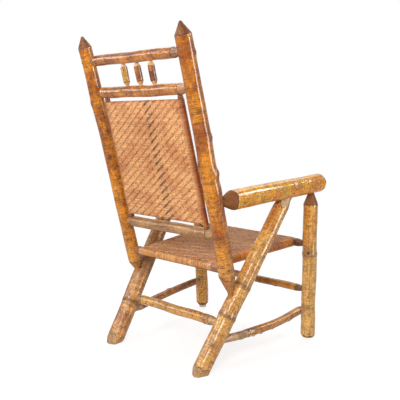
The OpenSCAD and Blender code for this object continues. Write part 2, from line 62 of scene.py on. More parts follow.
class Side(Enum):
    """The sitter's side of the chair."""

    LEFT = 1
    RIGHT = -1

    def named(self, what: str) -> str:
        """The name of this side's piece of a kind."""
        return f"{self.name.lower()}_{what}"


class KnotKind(Enum):
    """What a branch left behind on a pole."""

    BUMP = "bump"
    RING = "ring"
    PIT = "pit"


BUMP, RING, PIT = KnotKind


class Pattern(Enum):
    """Where a finish takes its pattern's coordinates from."""

    GRAIN = "grain attribute"
    OBJECT = "object coordinates"


# Small helpers
def srgb(colour: Colour) -> tuple[float, float, float, float]:
    """Turns a screen colour into a linear one.

    Args:
        colour: Red, green and blue from 0 to 255.

    Returns:
        Linear red, green, blue and an alpha of 1.
    """
    linear = [c / 255 / 12.92 if c / 255 <= 0.04045 else ((c / 255 + 0.055) / 1.055) ** 2.4 for c in colour]
    return (*linear, 1.0)


def reach(host_radius: float, host: Vector, direction: Vector, ring: float = 0.0) -> float:
    """Distance from a host pole's centre line at which a ring round a direction clears the host.

    Args:
        host_radius: Radius of the host pole.
        host: Unit direction of the host pole.
        direction: Unit direction that leaves the host.
        ring: Radius of the ring round that direction.

    Returns:
        The distance along the direction.
    """
    c = abs(host.dot(direction))
    return (host_radius + ring * c) / math.sqrt(1 - c * c)


def outward(side: Side, a: Vector, b: Vector) -> Vector:
    """The direction square to a and b that points out of the chair on this side.

    Args:
        side: Side of the chair.
        a: First direction.
        b: Second direction.

    Returns:
        A unit direction.
    """
    n = a.cross(b).normalized()
    return n if n.x * side.value > 0 else -n


def put(name: str, data: bpy.types.ID) -> bpy.types.Object:
    """Puts a new object with this data in the scene."""
    obj = bpy.data.objects.new(name, data)
    bpy.context.scene.collection.objects.link(obj)
    return obj


def finish_piece(bm: BMesh, name: str, material: Material,
                 nodes: tuple[str, ...] = (), sharp: float = 30.0) -> bpy.types.Object:
    """Turns a bmesh that is already in place into a finished piece of the chair.

    Args:
        bm: The piece's mesh, freed here.
        name: Name of the new object.
        material: Its finish.
        nodes: CAD nodes that the piece stands for.
        sharp: Angle in degrees past which an edge is shaded sharp.

    Returns:
        The new object.
    """
    mesh = bpy.data.meshes.new(name)
    bm.to_mesh(mesh)
    bm.free()
    return finish_mesh(mesh, name, material, nodes, sharp)


def finish_mesh(mesh: bpy.types.Mesh, name: str, material: Material,
                nodes: tuple[str, ...] = (), sharp: float = 30.0) -> bpy.types.Object:
    """Shades, dresses and declares a mesh that is already in place.

    Args:
        mesh: The finished mesh.
        name: Name of the new object.
        material: Its finish.
        nodes: CAD nodes that the piece stands for.
        sharp: Angle in degrees past which an edge is shaded sharp.

    Returns:
        The new object.
    """
    mesh.polygons.foreach_set("use_smooth", [True] * len(mesh.polygons))
    mesh.set_sharp_from_angle(angle=math.radians(sharp))
    obj = put(name, mesh)
    mesh.materials.append(material)
    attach(obj, "root")
    if nodes:
        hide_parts(*nodes)
    log.info("%s: %d faces", name, len(mesh.polygons))
    return obj


def spin(bm: BMesh, steps: int) -> None:
    """Spins all of a bmesh once round Z.

    Args:
        bm: The mesh.
        steps: Number of steps.
    """
    bmesh.ops.spin(bm, geom=list(bm.verts) + list(bm.edges), cent=(0, 0, 0), axis=(0, 0, 1), dvec=(0, 0, 0),
                   angle=2 * math.pi, steps=steps, use_merge=True, use_duplicate=False)


def turned(profile: list[Pair], steps: int) -> BMesh:
    """Turns a profile round Z.

    Args:
        profile: Radius and height of each of its points.
        steps: Number of steps.

    Returns:
        The turned mesh.
    """
    bm = bmesh.new()
    verts = [bm.verts.new((x, 0, z)) for x, z in profile]
    for pair in zip(verts, verts[1:]):
        bm.edges.new(pair)
    spin(bm, steps)
    bmesh.ops.remove_doubles(bm, verts=bm.verts, dist=1e-6)
    return bm


# Shader nodes
class NodeBench:
    """Adds shader nodes to one tree and joins them."""

    def __init__(self, tree: Tree) -> None:
        """Works on this tree."""
        self.tree = tree

    def add(self, kind: str, **settings: object) -> Node:
        """Adds a node.

        Args:
            kind: The node's type name.
            settings: Attributes to set on it.

        Returns:
            The node.
        """
        node = self.tree.nodes.new(kind)
        for key, value in settings.items():
            setattr(node, key, value)
        return node

    def feed(self, socket: Socket, value: object) -> None:
        """Links a socket, or sets its value."""
        if isinstance(value, bpy.types.NodeSocket):
            self.tree.links.new(value, socket)
        else:
            socket.default_value = value

    def feed_all(self, node: Node, **values: object) -> Node:
        """Feeds a node's inputs by name, and returns the node."""
        for name, value in values.items():
            self.feed(node.inputs[name], value)
        return node

    def group(self, tree: Tree, **values: object) -> Node:
        """Adds a shared group and feeds its inputs by name."""
        return self.feed_all(self.add("ShaderNodeGroup", node_tree=tree), **values)

    def math(self, operation: str, a: object, b: object = 0.0, clamp: bool = False) -> Socket:
        """Joins two values.

        Args:
            operation: The Math node's operation.
            a: First value or socket.
            b: Second value or socket.
            clamp: Keeps the result between 0 and 1.

        Returns:
            The result's socket.
        """
        node = self.add("ShaderNodeMath", operation=operation, use_clamp=clamp)
        self.feed(node.inputs[0], a)
        self.feed(node.inputs[1], b)
        return node.outputs[0]

    def times(self, a: object, b: object, clamp: bool = False) -> Socket:
        """The product of two values."""
        return self.math("MULTIPLY", a, b, clamp)

    def plus(self, a: object, b: object, clamp: bool = False) -> Socket:
        """The sum of two values."""
        return self.math("ADD", a, b, clamp)

    def minus(self, a: object, b: object, clamp: bool = False) -> Socket:
        """The first value less the second."""
        return self.math("SUBTRACT", a, b, clamp)

    def span(self, value: object, low: object, high: object, start: float = 0.0, end: float = 1.0) -> Socket:
        """Maps low..high to start..end with a smooth step.

        Args:
            value: Value or socket.
            low: Value or socket that gives start.
            high: Value or socket that gives end.
            start: Result at low.
            end: Result at high.

        Returns:
            The result's socket.
        """
        node = self.add("ShaderNodeMapRange", interpolation_type="SMOOTHSTEP")
        keys = ("Value", "From Min", "From Max", "To Min", "To Max")
        self.feed_all(node, **dict(zip(keys, (value, low, high, start, end))))
        return node.outputs["Result"]

    def mix(self, factor: object, a: object, b: object, blend: str = "MIX") -> Socket:
        """Blends two colours.

        Args:
            factor: Share of b.
            a: First colour or socket.
            b: Second colour or socket.
            blend: The Mix node's blend type.

        Returns:
            The result's socket.
        """
        node = self.add("ShaderNodeMix", data_type="RGBA", blend_type=blend)
        self.feed(node.inputs[0], factor)
        self.feed(node.inputs[6], a)
        self.feed(node.inputs[7], b)
        return node.outputs[2]

    def stretch(self, vector: Socket, scale: Triple) -> Socket:
        """Scales a vector's three parts."""
        node = self.add("ShaderNodeVectorMath", operation="MULTIPLY")
        self.feed(node.inputs[0], vector)
        node.inputs[1].default_value = scale
        return node.outputs[0]

    def noise(self, vector: Socket, scale: Triple, detail: float = 2.0,
              roughness: float = 0.5, distortion: float = 0.0) -> Socket:
        """Noise from 0 to 1, with its own scale along each axis, in repeats per metre.

        Args:
            vector: Coordinates.
            scale: Repeats per metre along each axis.
            detail: Octaves of finer noise.
            roughness: Strength of the finer noise.
            distortion: How much it swirls.

        Returns:
            The value's socket.
        """
        node = self.feed_all(self.add("ShaderNodeTexNoise"), Vector=self.stretch(vector, scale), Scale=1.0,
                             Detail=detail, Roughness=roughness, Distortion=distortion)
        return node.outputs[0]

    def attribute(self, name: str) -> Node:
        """A node that reads one of the mesh's attributes."""
        return self.add("ShaderNodeAttribute", attribute_name=name)

    def length(self, vector: Socket) -> Socket:
        """A vector's length."""
        node = self.add("ShaderNodeVectorMath", operation="LENGTH")
        self.feed(node.inputs[0], vector)
        return node.outputs["Value"]

    def seen(self) -> Socket:
        """1 for rays from the camera, through glass and off gloss, and 0 for those that light things."""
        path = self.add("ShaderNodeLightPath")
        seen = self.math("MAXIMUM", path.outputs["Is Camera Ray"], path.outputs["Is Transmission Ray"])
        return self.math("MAXIMUM", seen, path.outputs["Is Glossy Ray"])

    def bump(self, shader: Node, height: Socket, strength: float, distance: float) -> None:
        """Raises a shader's surface by a height.

        Args:
            shader: The shader.
            height: The height, in its own units.
            strength: How much of it shows.
            distance: Metres in one unit of height.
        """
        node = self.feed_all(self.add("ShaderNodeBump"), Strength=strength, Distance=distance, Height=height)
        self.feed(shader.inputs["Normal"], node.outputs["Normal"])


def new_material(name: str) -> tuple[Material, NodeBench, Node]:
    """Starts a material.

    Args:
        name: Its name.

    Returns:
        The material, the bench for its nodes, and its shader.
    """
    material = bpy.data.materials.new(name)
    material.use_nodes = True
    return material, NodeBench(material.node_tree), material.node_tree.nodes["Principled BSDF"]


@dataclass(frozen=True)
class GroupPlan:
    """A shared shader node group's name and sockets."""

    name: str
    inputs: tuple[tuple[str, str, object], ...]
    outputs: tuple[tuple[str, str], ...]

    def start(self) -> tuple[Tree, NodeBench, dict[str, Socket], Node]:
        """Makes the group with its sockets.

        Returns:
            The group, its bench, its inputs by name, and its output node.
        """
        group = bpy.data.node_groups.new(self.name, "ShaderNodeTree")
        for name, kind, value in self.inputs:
            socket = group.interface.new_socket(name=name, in_out="INPUT", socket_type=kind)
            if value is not None:
                socket.default_value = value
        for name, kind in self.outputs:
            group.interface.new_socket(name=name, in_out="OUTPUT", socket_type=kind)
        bench = NodeBench(group)
        entry = bench.add("NodeGroupInput")
        leave = bench.add("NodeGroupOutput")
        return group, bench, {s.name: s for s in entry.outputs if s.name}, leave


FLOAT, VECTOR, COLOR = "NodeSocketFloat", "NodeSocketVector", "NodeSocketColor"


class Patterns:
    """The shader node groups that several finishes share, each built once."""

    def __init__(self) -> None:
        """Builds every group."""
        self.bark = self._bark()
        self.wood = self._wood()
        self.whittle = self._whittle()
        self.cane = self._cane()

    def _bark(self) -> Tree:
        """Bark: broad tint, mottling, rings across the pole, blots, a dull bloom, and a height.

        Returns:
            The group.
        """
        plan = GroupPlan(
            "Bark Pattern",
            (("Grain", VECTOR, None), ("Mottling", FLOAT, 0.5), ("Ringing", FLOAT, 0.5)),
            (("Tint", FLOAT), ("Mottle", FLOAT), ("Grit", FLOAT), ("Blots", FLOAT), ("Rings", FLOAT),
             ("Bloom", FLOAT), ("Height", FLOAT)),
        )
        group, b, given, leave = plan.start()
        grain = given["Grain"]
        tint = b.span(b.noise(grain, (16, 16, 13), 4, 0.65, 0.4), 0.38, 0.62)
        # Brown clouds, wider round the pole than along it, a fine grit, and small dark blots
        cloud = b.noise(grain, (36, 36, 66), 5, 0.7, 0.5)
        share = b.times(given["Mottling"], 0.22)
        low = b.minus(0.58, share)
        mottle = b.span(cloud, low, b.plus(low, 0.16))
        grit = b.noise(grain, (150, 150, 210), 4, 0.7, 0.3)
        low = b.minus(0.64, b.times(share, 0.55))
        blots = b.span(b.plus(b.times(grit, 0.62), b.times(cloud, 0.38)), low, b.plus(low, 0.05))
        # Fine rings across the pole, 3 to 7 mm apart, which fade in and out along it
        narrow = b.noise(grain, (16, 16, 440), 2, 0.6, 0.15)
        wide = b.noise(grain, (10, 10, 250), 2, 0.6, 0.15)
        both = b.plus(b.times(narrow, 0.35), b.times(wide, 0.65))
        strong = b.span(b.noise(grain, (64, 64, 44), 3, 0.6), 0.38, 0.6, 0.25, 1.0)
        rings = b.times(b.times(b.span(both, 0.48, 0.55), strong), given["Ringing"], True)
        bloom = b.span(b.noise(grain, (44, 44, 40), 4, 0.65, 0.6), 0.54, 0.68)
        lumps = b.times(b.noise(grain, (70, 70, 120), 3, 0.6), 1.1)
        height = b.minus(b.minus(lumps, b.times(both, 0.8)), b.times(blots, 0.25))
        b.feed_all(leave, Tint=tint, Mottle=mottle, Grit=b.span(grit, 0.47, 0.62), Blots=blots, Rings=rings,
                   Bloom=bloom, Height=height)
        return group

    def _wood(self) -> Tree:
        """Whittled wood: fibres along the pole, yearly rings round its heart, knife chatter.

        Returns:
            The group.
        """
        plan = GroupPlan(
            "Whittled Wood",
            (("Grain", VECTOR, None), ("Pale", COLOR, (1, 1, 1, 1)), ("Dark", COLOR, (0, 0, 0, 1)),
             ("Tone", FLOAT, 0.5)),
            (("Color", COLOR), ("Height", FLOAT)),
        )
        group, b, given, leave = plan.start()
        grain = given["Grain"]
        fibres = b.noise(grain, (420, 420, 22), 4, 0.6, 0.2)
        wobble = b.times(b.noise(grain, (45, 45, 14), 2), 7.0)
        years = b.math("SINE", b.plus(b.times(b.length(b.stretch(grain, (1, 1, 0))), 2300.0), wobble))
        stripe = b.times(b.plus(years, 1.0), 0.5)
        stain = b.span(b.noise(grain, (70, 70, 60), 4, 0.65), 0.4, 0.68)
        shade = b.plus(b.times(stripe, 0.1), b.times(fibres, 0.4))
        shade = b.plus(shade, b.times(stain, 0.35))
        # A tone of 1 is pale, a tone of 0 is dark with smoke and old varnish
        factor = b.minus(b.plus(shade, 0.55), b.times(given["Tone"], 0.95), True)
        b.feed_all(leave, Color=b.mix(factor, given["Pale"], given["Dark"]),
                   Height=b.plus(b.times(fibres, 0.35), b.times(stripe, 0.1)))
        return group

    def _whittle(self) -> Tree:
        """The ragged line where bark gives way to cut wood, and the dark rim along it.

        Returns:
            The group.
        """
        plan = GroupPlan(
            "Whittle Line",
            (("Grain", VECTOR, None), ("Cut", FLOAT, -1.0)),
            (("Mask", FLOAT), ("Rim", FLOAT)),
        )
        group, b, given, leave = plan.start()
        ragged = b.times(b.minus(b.noise(given["Grain"], (260, 260, 160), 3), 0.5), 0.0022)
        line = b.plus(given["Cut"], ragged)
        near = b.math("ABSOLUTE", b.minus(line, 0.0002))
        b.feed_all(leave, Mask=b.span(line, -0.0002, 0.0003), Rim=b.span(near, 0.0005, 0.0022, 1.0, 0.0))
        return group

    def _cane(self) -> Tree:
        """A strand of cane: fibres along it, painted shade along its edges, old varnish and odd dark joints.

        Returns:
            The group.
        """
        plan = GroupPlan(
            "Cane Strand",
            (("Strand", VECTOR, None), ("Light", COLOR, (1, 1, 1, 1)), ("Mid", COLOR, (1, 1, 1, 1)),
             ("Dark", COLOR, (0, 0, 0, 1)), ("Shade", FLOAT, 0.0)),
            (("Color", COLOR), ("Gloss", FLOAT), ("Height", FLOAT)),
        )
        group, b, given, leave = plan.start()
        strand = given["Strand"]
        split = b.add("ShaderNodeSeparateXYZ")
        b.feed(split.inputs[0], strand)
        fibres = b.noise(strand, (150, 3.2, 90), 3, 0.7)
        long_change = b.noise(strand, (24, 0.2, 130), 2, 0.5)
        own = b.noise(strand, (0.6, 0, 400), 0)
        tint = b.plus(b.times(fibres, 0.6), b.times(long_change, 0.4))
        tint = b.plus(tint, b.times(own, 0.45))
        colour = b.mix(b.span(tint, 0.64, 0.84), given["Light"], given["Mid"])
        joints = b.span(b.noise(strand, (120, 0.4, 170), 1), 0.58, 0.66)
        # Painted shade along both edges of a strand, where it dips beside its neighbours
        edge = b.span(b.math("ABSOLUTE", split.outputs["Y"]), 0.62, 1.0)
        dark = b.math("MAXIMUM", b.times(joints, 0.8), b.times(edge, 0.5))
        dark = b.math("MAXIMUM", dark, given["Shade"], True)
        b.feed_all(leave, Color=b.mix(dark, colour, given["Dark"]), Gloss=b.plus(0.36, b.times(tint, 0.22)),
                   Height=b.plus(b.times(fibres, 0.4), b.times(own, 0.3)))
        return group


# Finishes
@dataclass(frozen=True)
class BarkFinish:
    """Lacquered bark with whittled ends. Colours are from 0 to 255."""

    name: str
    light: Colour
    mid: Colour
    dark: Colour
    spot: Colour
    pale_cut: Colour = (206, 160, 108)
    dark_cut: Colour = (74, 42, 24)
    rim: Colour = (62, 36, 22)
    bloom: Colour = (178, 134, 98)
    mottling: float = 0.5
    ringing: float = 0.8
    gritting: float = 0.45
    blooming: float = 0.35
    streaking: float = 0.2
    worn: Colour = (240, 190, 112)
    wear: float = 0.0
    ring_share: float = 0.66
    mottle_share: float = 0.45
    blot_share: float = 0.8
    rim_share: float = 0.9
    worn_heights: Pair = (0.2, 0.48)
    roughness: float = 0.12
    level: float = 0.3

    def bare(self, name: str) -> "BarkFinish":
        """The duller finish of whittled faces on a pole of this bark."""
        return replace(self, name=name, level=0.06)

    def material(self, patterns: Patterns, pattern: Pattern = Pattern.GRAIN) -> Material:
        """Builds the material.

        Args:
            patterns: The shared node groups.
            pattern: Where its coordinates come from.

        Returns:
            The material.
        """
        material, b, shader = new_material(self.name if pattern is Pattern.GRAIN else self.name + "_plain")
        place = b.add("ShaderNodeTexCoord").outputs["Object"]
        grain = b.attribute("grain").outputs["Vector"] if pattern is Pattern.GRAIN else place
        bark = b.group(patterns.bark, Grain=grain, Mottling=self.mottling, Ringing=self.ringing).outputs
        colour = b.mix(bark["Tint"], srgb(self.light), srgb(self.mid))
        # The lower part of a leg or post is worn paler
        split = b.feed_all(b.add("ShaderNodeSeparateXYZ"), Vector=place)
        worn = b.span(split.outputs["Z"], *self.worn_heights, self.wear, 0.0)
        colour = b.mix(worn, colour, srgb(self.worn))
        # Dark streaks along the pole: bark streaks, and on the spindles partly painted dark reflection
        streaks = b.span(b.noise(grain, (230, 230, 9), 3, 0.6, 0.1), 0.5, 0.6)
        for mask, share in ((bark["Grit"], self.gritting), (bark["Rings"], self.ring_share),
                            (streaks, self.streaking), (bark["Mottle"], self.mottle_share)):
            colour = b.mix(b.times(mask, share), colour, srgb(self.dark))
        dull = b.times(bark["Bloom"], self.blooming)
        colour = b.mix(dull, colour, srgb(self.bloom))
        colour = b.mix(b.times(bark["Blots"], self.blot_share), colour, srgb(self.spot))
        height = bark["Height"]
        rough = b.plus(b.plus(self.roughness, b.times(bark["Rings"], 0.1)), b.times(dull, 0.5))
        if pattern is Pattern.GRAIN:
            # Knots darken the bark; the left rear leg's broad dark patch below the seat is partly painted
            # shadow
            knot = b.attribute("knot").outputs["Fac"]
            colour = b.mix(b.times(knot, 1.2, True), colour, srgb(self.spot))
            wood = b.group(patterns.wood, Grain=grain, Tone=b.attribute("tone").outputs["Fac"],
                           Pale=srgb(self.pale_cut), Dark=srgb(self.dark_cut)).outputs
            line = b.group(patterns.whittle, Grain=grain, Cut=b.attribute("cut").outputs["Fac"]).outputs
            mask = line["Mask"]
            colour = b.mix(mask, colour, wood["Color"])
            colour = b.mix(b.times(line["Rim"], self.rim_share), colour, srgb(self.rim))
            rough = b.plus(b.plus(rough, b.times(knot, 0.4)), b.times(mask, 0.26))
            height = b.plus(b.times(height, b.minus(1.0, mask)), b.times(wood["Height"], mask))
        b.feed(shader.inputs["Base Color"], colour)
        b.feed(shader.inputs["Roughness"], rough)
        b.bump(shader, height, 0.8, 0.0006)
        shader.inputs["Specular IOR Level"].default_value = self.level
        return material


@dataclass(frozen=True)
class CaneFinish:
    """Woven cane: the strands' colours on the faces, where they wrap a rod, and in the dark; the change
    between faces and wraps is partly stain and partly painted shade, and the dark colour also paints shade
    along the strands' edges.
    """

    name: str
    light: Colour
    mid: Colour
    dark: Colour
    wrap_light: Colour
    wrap_mid: Colour
    handled: Colour = (218, 190, 176)
    handling: float = 0.7
    level: float = 0.25

    def material(self, patterns: Patterns) -> Material:
        """Builds the material.

        Args:
            patterns: The shared node groups.

        Returns:
            The material.
        """
        material, b, shader = new_material(self.name)
        wrap = b.attribute("wrap").outputs["Fac"]
        cane = b.group(patterns.cane, Strand=b.attribute("strand").outputs["Vector"],
                       Shade=b.attribute("shade").outputs["Fac"], Dark=srgb(self.dark),
                       Light=b.mix(wrap, srgb(self.light), srgb(self.wrap_light)),
                       Mid=b.mix(wrap, srgb(self.mid), srgb(self.wrap_mid))).outputs
        # Old varnish and handling leave broad soft changes over the whole cover
        place = b.add("ShaderNodeTexCoord").outputs["Object"]
        broad = b.times(b.span(b.noise(place, (14, 14, 14), 3, 0.55), 0.4, 0.7), self.handling)
        colour = b.mix(broad, cane["Color"], b.mix(1.0, cane["Color"], srgb(self.handled), "MULTIPLY"))
        b.feed(shader.inputs["Base Color"], colour)
        b.feed(shader.inputs["Roughness"], cane["Gloss"])
        b.bump(shader, cane["Height"], 0.6, 0.0004)
        shader.inputs["Specular IOR Level"].default_value = self.level
        return material


@dataclass(frozen=True)
class SmallPartFinish:
    """Nails, tacks and glides: one colour, worn and dusted to another."""

    name: str
    colour: Colour
    worn: Colour
    metallic: float
    roughness: float
    scale: float

    def material(self) -> Material:
        """Builds the material.

        Returns:
            The material.
        """
        material, b, shader = new_material(self.name)
        place = b.add("ShaderNodeTexCoord").outputs["Object"]
        wear = b.noise(place, (self.scale,) * 3, 4, 0.6, 0.3)
        tint = b.mix(b.span(wear, 0.42, 0.66), srgb(self.colour), srgb(self.worn))
        b.feed(shader.inputs["Base Color"], tint)
        b.feed(shader.inputs["Roughness"], b.plus(self.roughness, b.times(wear, 0.25)))
        shader.inputs["Metallic"].default_value = self.metallic
        b.bump(shader, wear, 0.4, 0.0002)
        return material


# The chair's lines
@dataclass(frozen=True)
class Line:
    """A centre line: a point on it and its unit direction."""

    origin: Vector
    direction: Vector

    def at(self, distance: float) -> Vector:
        """The point at a distance from the origin."""
        return self.origin + self.direction * distance

    def at_height(self, z: float) -> Vector:
        """The point at a height above the floor."""
        return self.at((z - self.origin.z) / self.direction.z)


@dataclass(frozen=True)
class Layout:
    """The main sizes, as in the CAD part, and the centre lines that they give."""

    overall_height: float = 1.090
    back_lean: float = 13.8
    back_width_top: float = 0.486
    back_width_foot: float = 0.471
    back_sway: float = 0.006
    base_depth: float = 0.523
    rear_leg_lean: float = 35.4
    brace_height: float = 0.201
    front_width_foot: float = 0.545
    front_width_arm: float = 0.568
    front_leg_lean: float = 0.8
    arm_rear_height: float = 0.549
    arm_front_height: float = 0.574
    arm_overhang: float = 0.064
    post_radius: Pair = (0.0235, 0.026)
    rear_leg_radius: Pair = (0.031, 0.029)
    front_leg_radius: float = 0.026
    arm_radius: float = 0.033
    middle_x: float = -0.00019552
    middle_y: float = 0.0171256
    tenon_past: float = 0.005
    neck: float = 0.002

    def place(self, x: float, y: float, z: float) -> Vector:
        """A point in the chair's centred frame."""
        return Vector((x - self.middle_x, y - self.middle_y, z))

    def pick(self, side: Side, pair: Pair) -> float:
        """The left or right one of a pair."""
        return pair[0] if side is Side.LEFT else pair[1]

    @property
    def brace_y(self) -> float:
        """Depth at which a back post meets its rear leg."""
        return self.base_depth / 2 - self.brace_height * math.tan(math.radians(self.rear_leg_lean))

    @property
    def back_normal(self) -> Vector:
        """Square to the back, pointing behind the chair."""
        lean = math.radians(self.back_lean)
        return Vector((0, math.cos(lean), -math.sin(lean)))

    @property
    def back_up(self) -> Vector:
        """Up along the back."""
        lean = math.radians(self.back_lean)
        return Vector((0, math.sin(lean), math.cos(lean)))

    def tip(self, side: Side) -> Vector:
        """The top of a back post."""
        run = (self.overall_height - self.brace_height) * math.tan(math.radians(self.back_lean))
        across = self.back_sway + side.value * self.back_width_top / 2
        return self.place(across, self.brace_y + run, self.overall_height)

    def post(self, side: Side) -> Line:
        """A back post's line, from the brace up."""
        brace = self.place(side.value * self.back_width_foot / 2, self.brace_y, self.brace_height)
        return Line(brace, (self.tip(side) - brace).normalized())

    def front_top(self, side: Side) -> Vector:
        """Where a front leg's line meets the arm's."""
        run = self.arm_front_height * math.tan(math.radians(self.front_leg_lean))
        across = side.value * self.front_width_arm / 2
        return self.place(across, -self.base_depth / 2 + run, self.arm_front_height)

    def front_leg(self, side: Side) -> Line:
        """A front leg's line, from the floor up."""
        foot = self.place(side.value * self.front_width_foot / 2, -self.base_depth / 2, 0)
        return Line(foot, (self.front_top(side) - foot).normalized())

    def arm(self, side: Side) -> Line:
        """An arm's line, from the back post forward."""
        rear = self.post(side).at_height(self.arm_rear_height)
        return Line(rear, (self.front_top(side) - rear).normalized())

    def rear_top(self, side: Side) -> Vector:
        """Where a rear leg's line meets the arm's."""
        arm = self.arm(side)
        slope = arm.direction.z / arm.direction.y
        leg = -1 / math.tan(math.radians(self.rear_leg_lean))
        foot_y = self.base_depth / 2 - self.middle_y
        y = (arm.origin.z - slope * arm.origin.y + leg * foot_y) / (leg - slope)
        return arm.at((y - arm.origin.y) / arm.direction.y)

    def rear_leg(self, side: Side) -> Line:
        """A rear leg's line, from the floor up."""
        brace = self.post(side).origin
        line = Line(brace, (self.rear_top(side) - brace).normalized())
        return Line(line.at_height(0), line.direction)

    def back_middle(self, z: float) -> Vector:
        """The middle of the back at a height."""
        return Vector((-self.middle_x, self.post(Side.LEFT).at_height(z).y, z))


# Poles
@dataclass(frozen=True)
class Knot:
    """A knot: its distance along the pole, the world direction it faces, its size, and its kind."""

    along: float
    facing: Triple
    height: float
    width: float
    kind: KnotKind = BUMP
    dark: float = 0.5


@dataclass(frozen=True)
class Cut:
    """A whittled end: knife planes from the bark, at outer, down to a tenon or tip, at inner."""

    inner: float
    outer: float
    radius: float
    tone: float
    planes: int = 8
    seed: int = 1
    rough: float = 0.0007


@dataclass(frozen=True)
class Peel:
    """A stretch where the bark came off."""

    start: float
    end: float
    depth: float = 0.0008
    tone: float = 0.8


# How far a pole's fine rings reach past a cut, a knot (in its widths) and a peel, and their spacing
CUT_MARGINS = (0.004, 0.012)
KNOT_MARGIN = 2.5
PEEL_MARGIN = 0.006
FINE_SHARE = 0.42
# The last ring's distance from a pole's end, and the room that has to be left for it
LAST_RING = 0.0006
LAST_ROOM = 0.0025
# Distances over which the given bends are smoothed
BEND_WINDOW = (-0.04, -0.02, 0.0, 0.02, 0.04)
# Step in the grain's pattern from one seed to the next
GRAIN_STEP = 0.731
# A peel's ragged end: its two waves, the length of its step, and how far its tone reaches past it
PEEL_WAVES = (0.002, 0.001)
PEEL_STEP = 0.002
PEEL_TONE = 0.004
# How far past a cut's bark end its knife planes are looked for
CUT_REACH = 0.03
# Knife planes: how unevenly they're spaced, how deep they lie, their least cosine and the core they leave
KNIFE_SWAY = 0.17
KNIFE_DEPTH = 0.6
KNIFE_COSINE = 0.05
KNIFE_CORE = 0.8


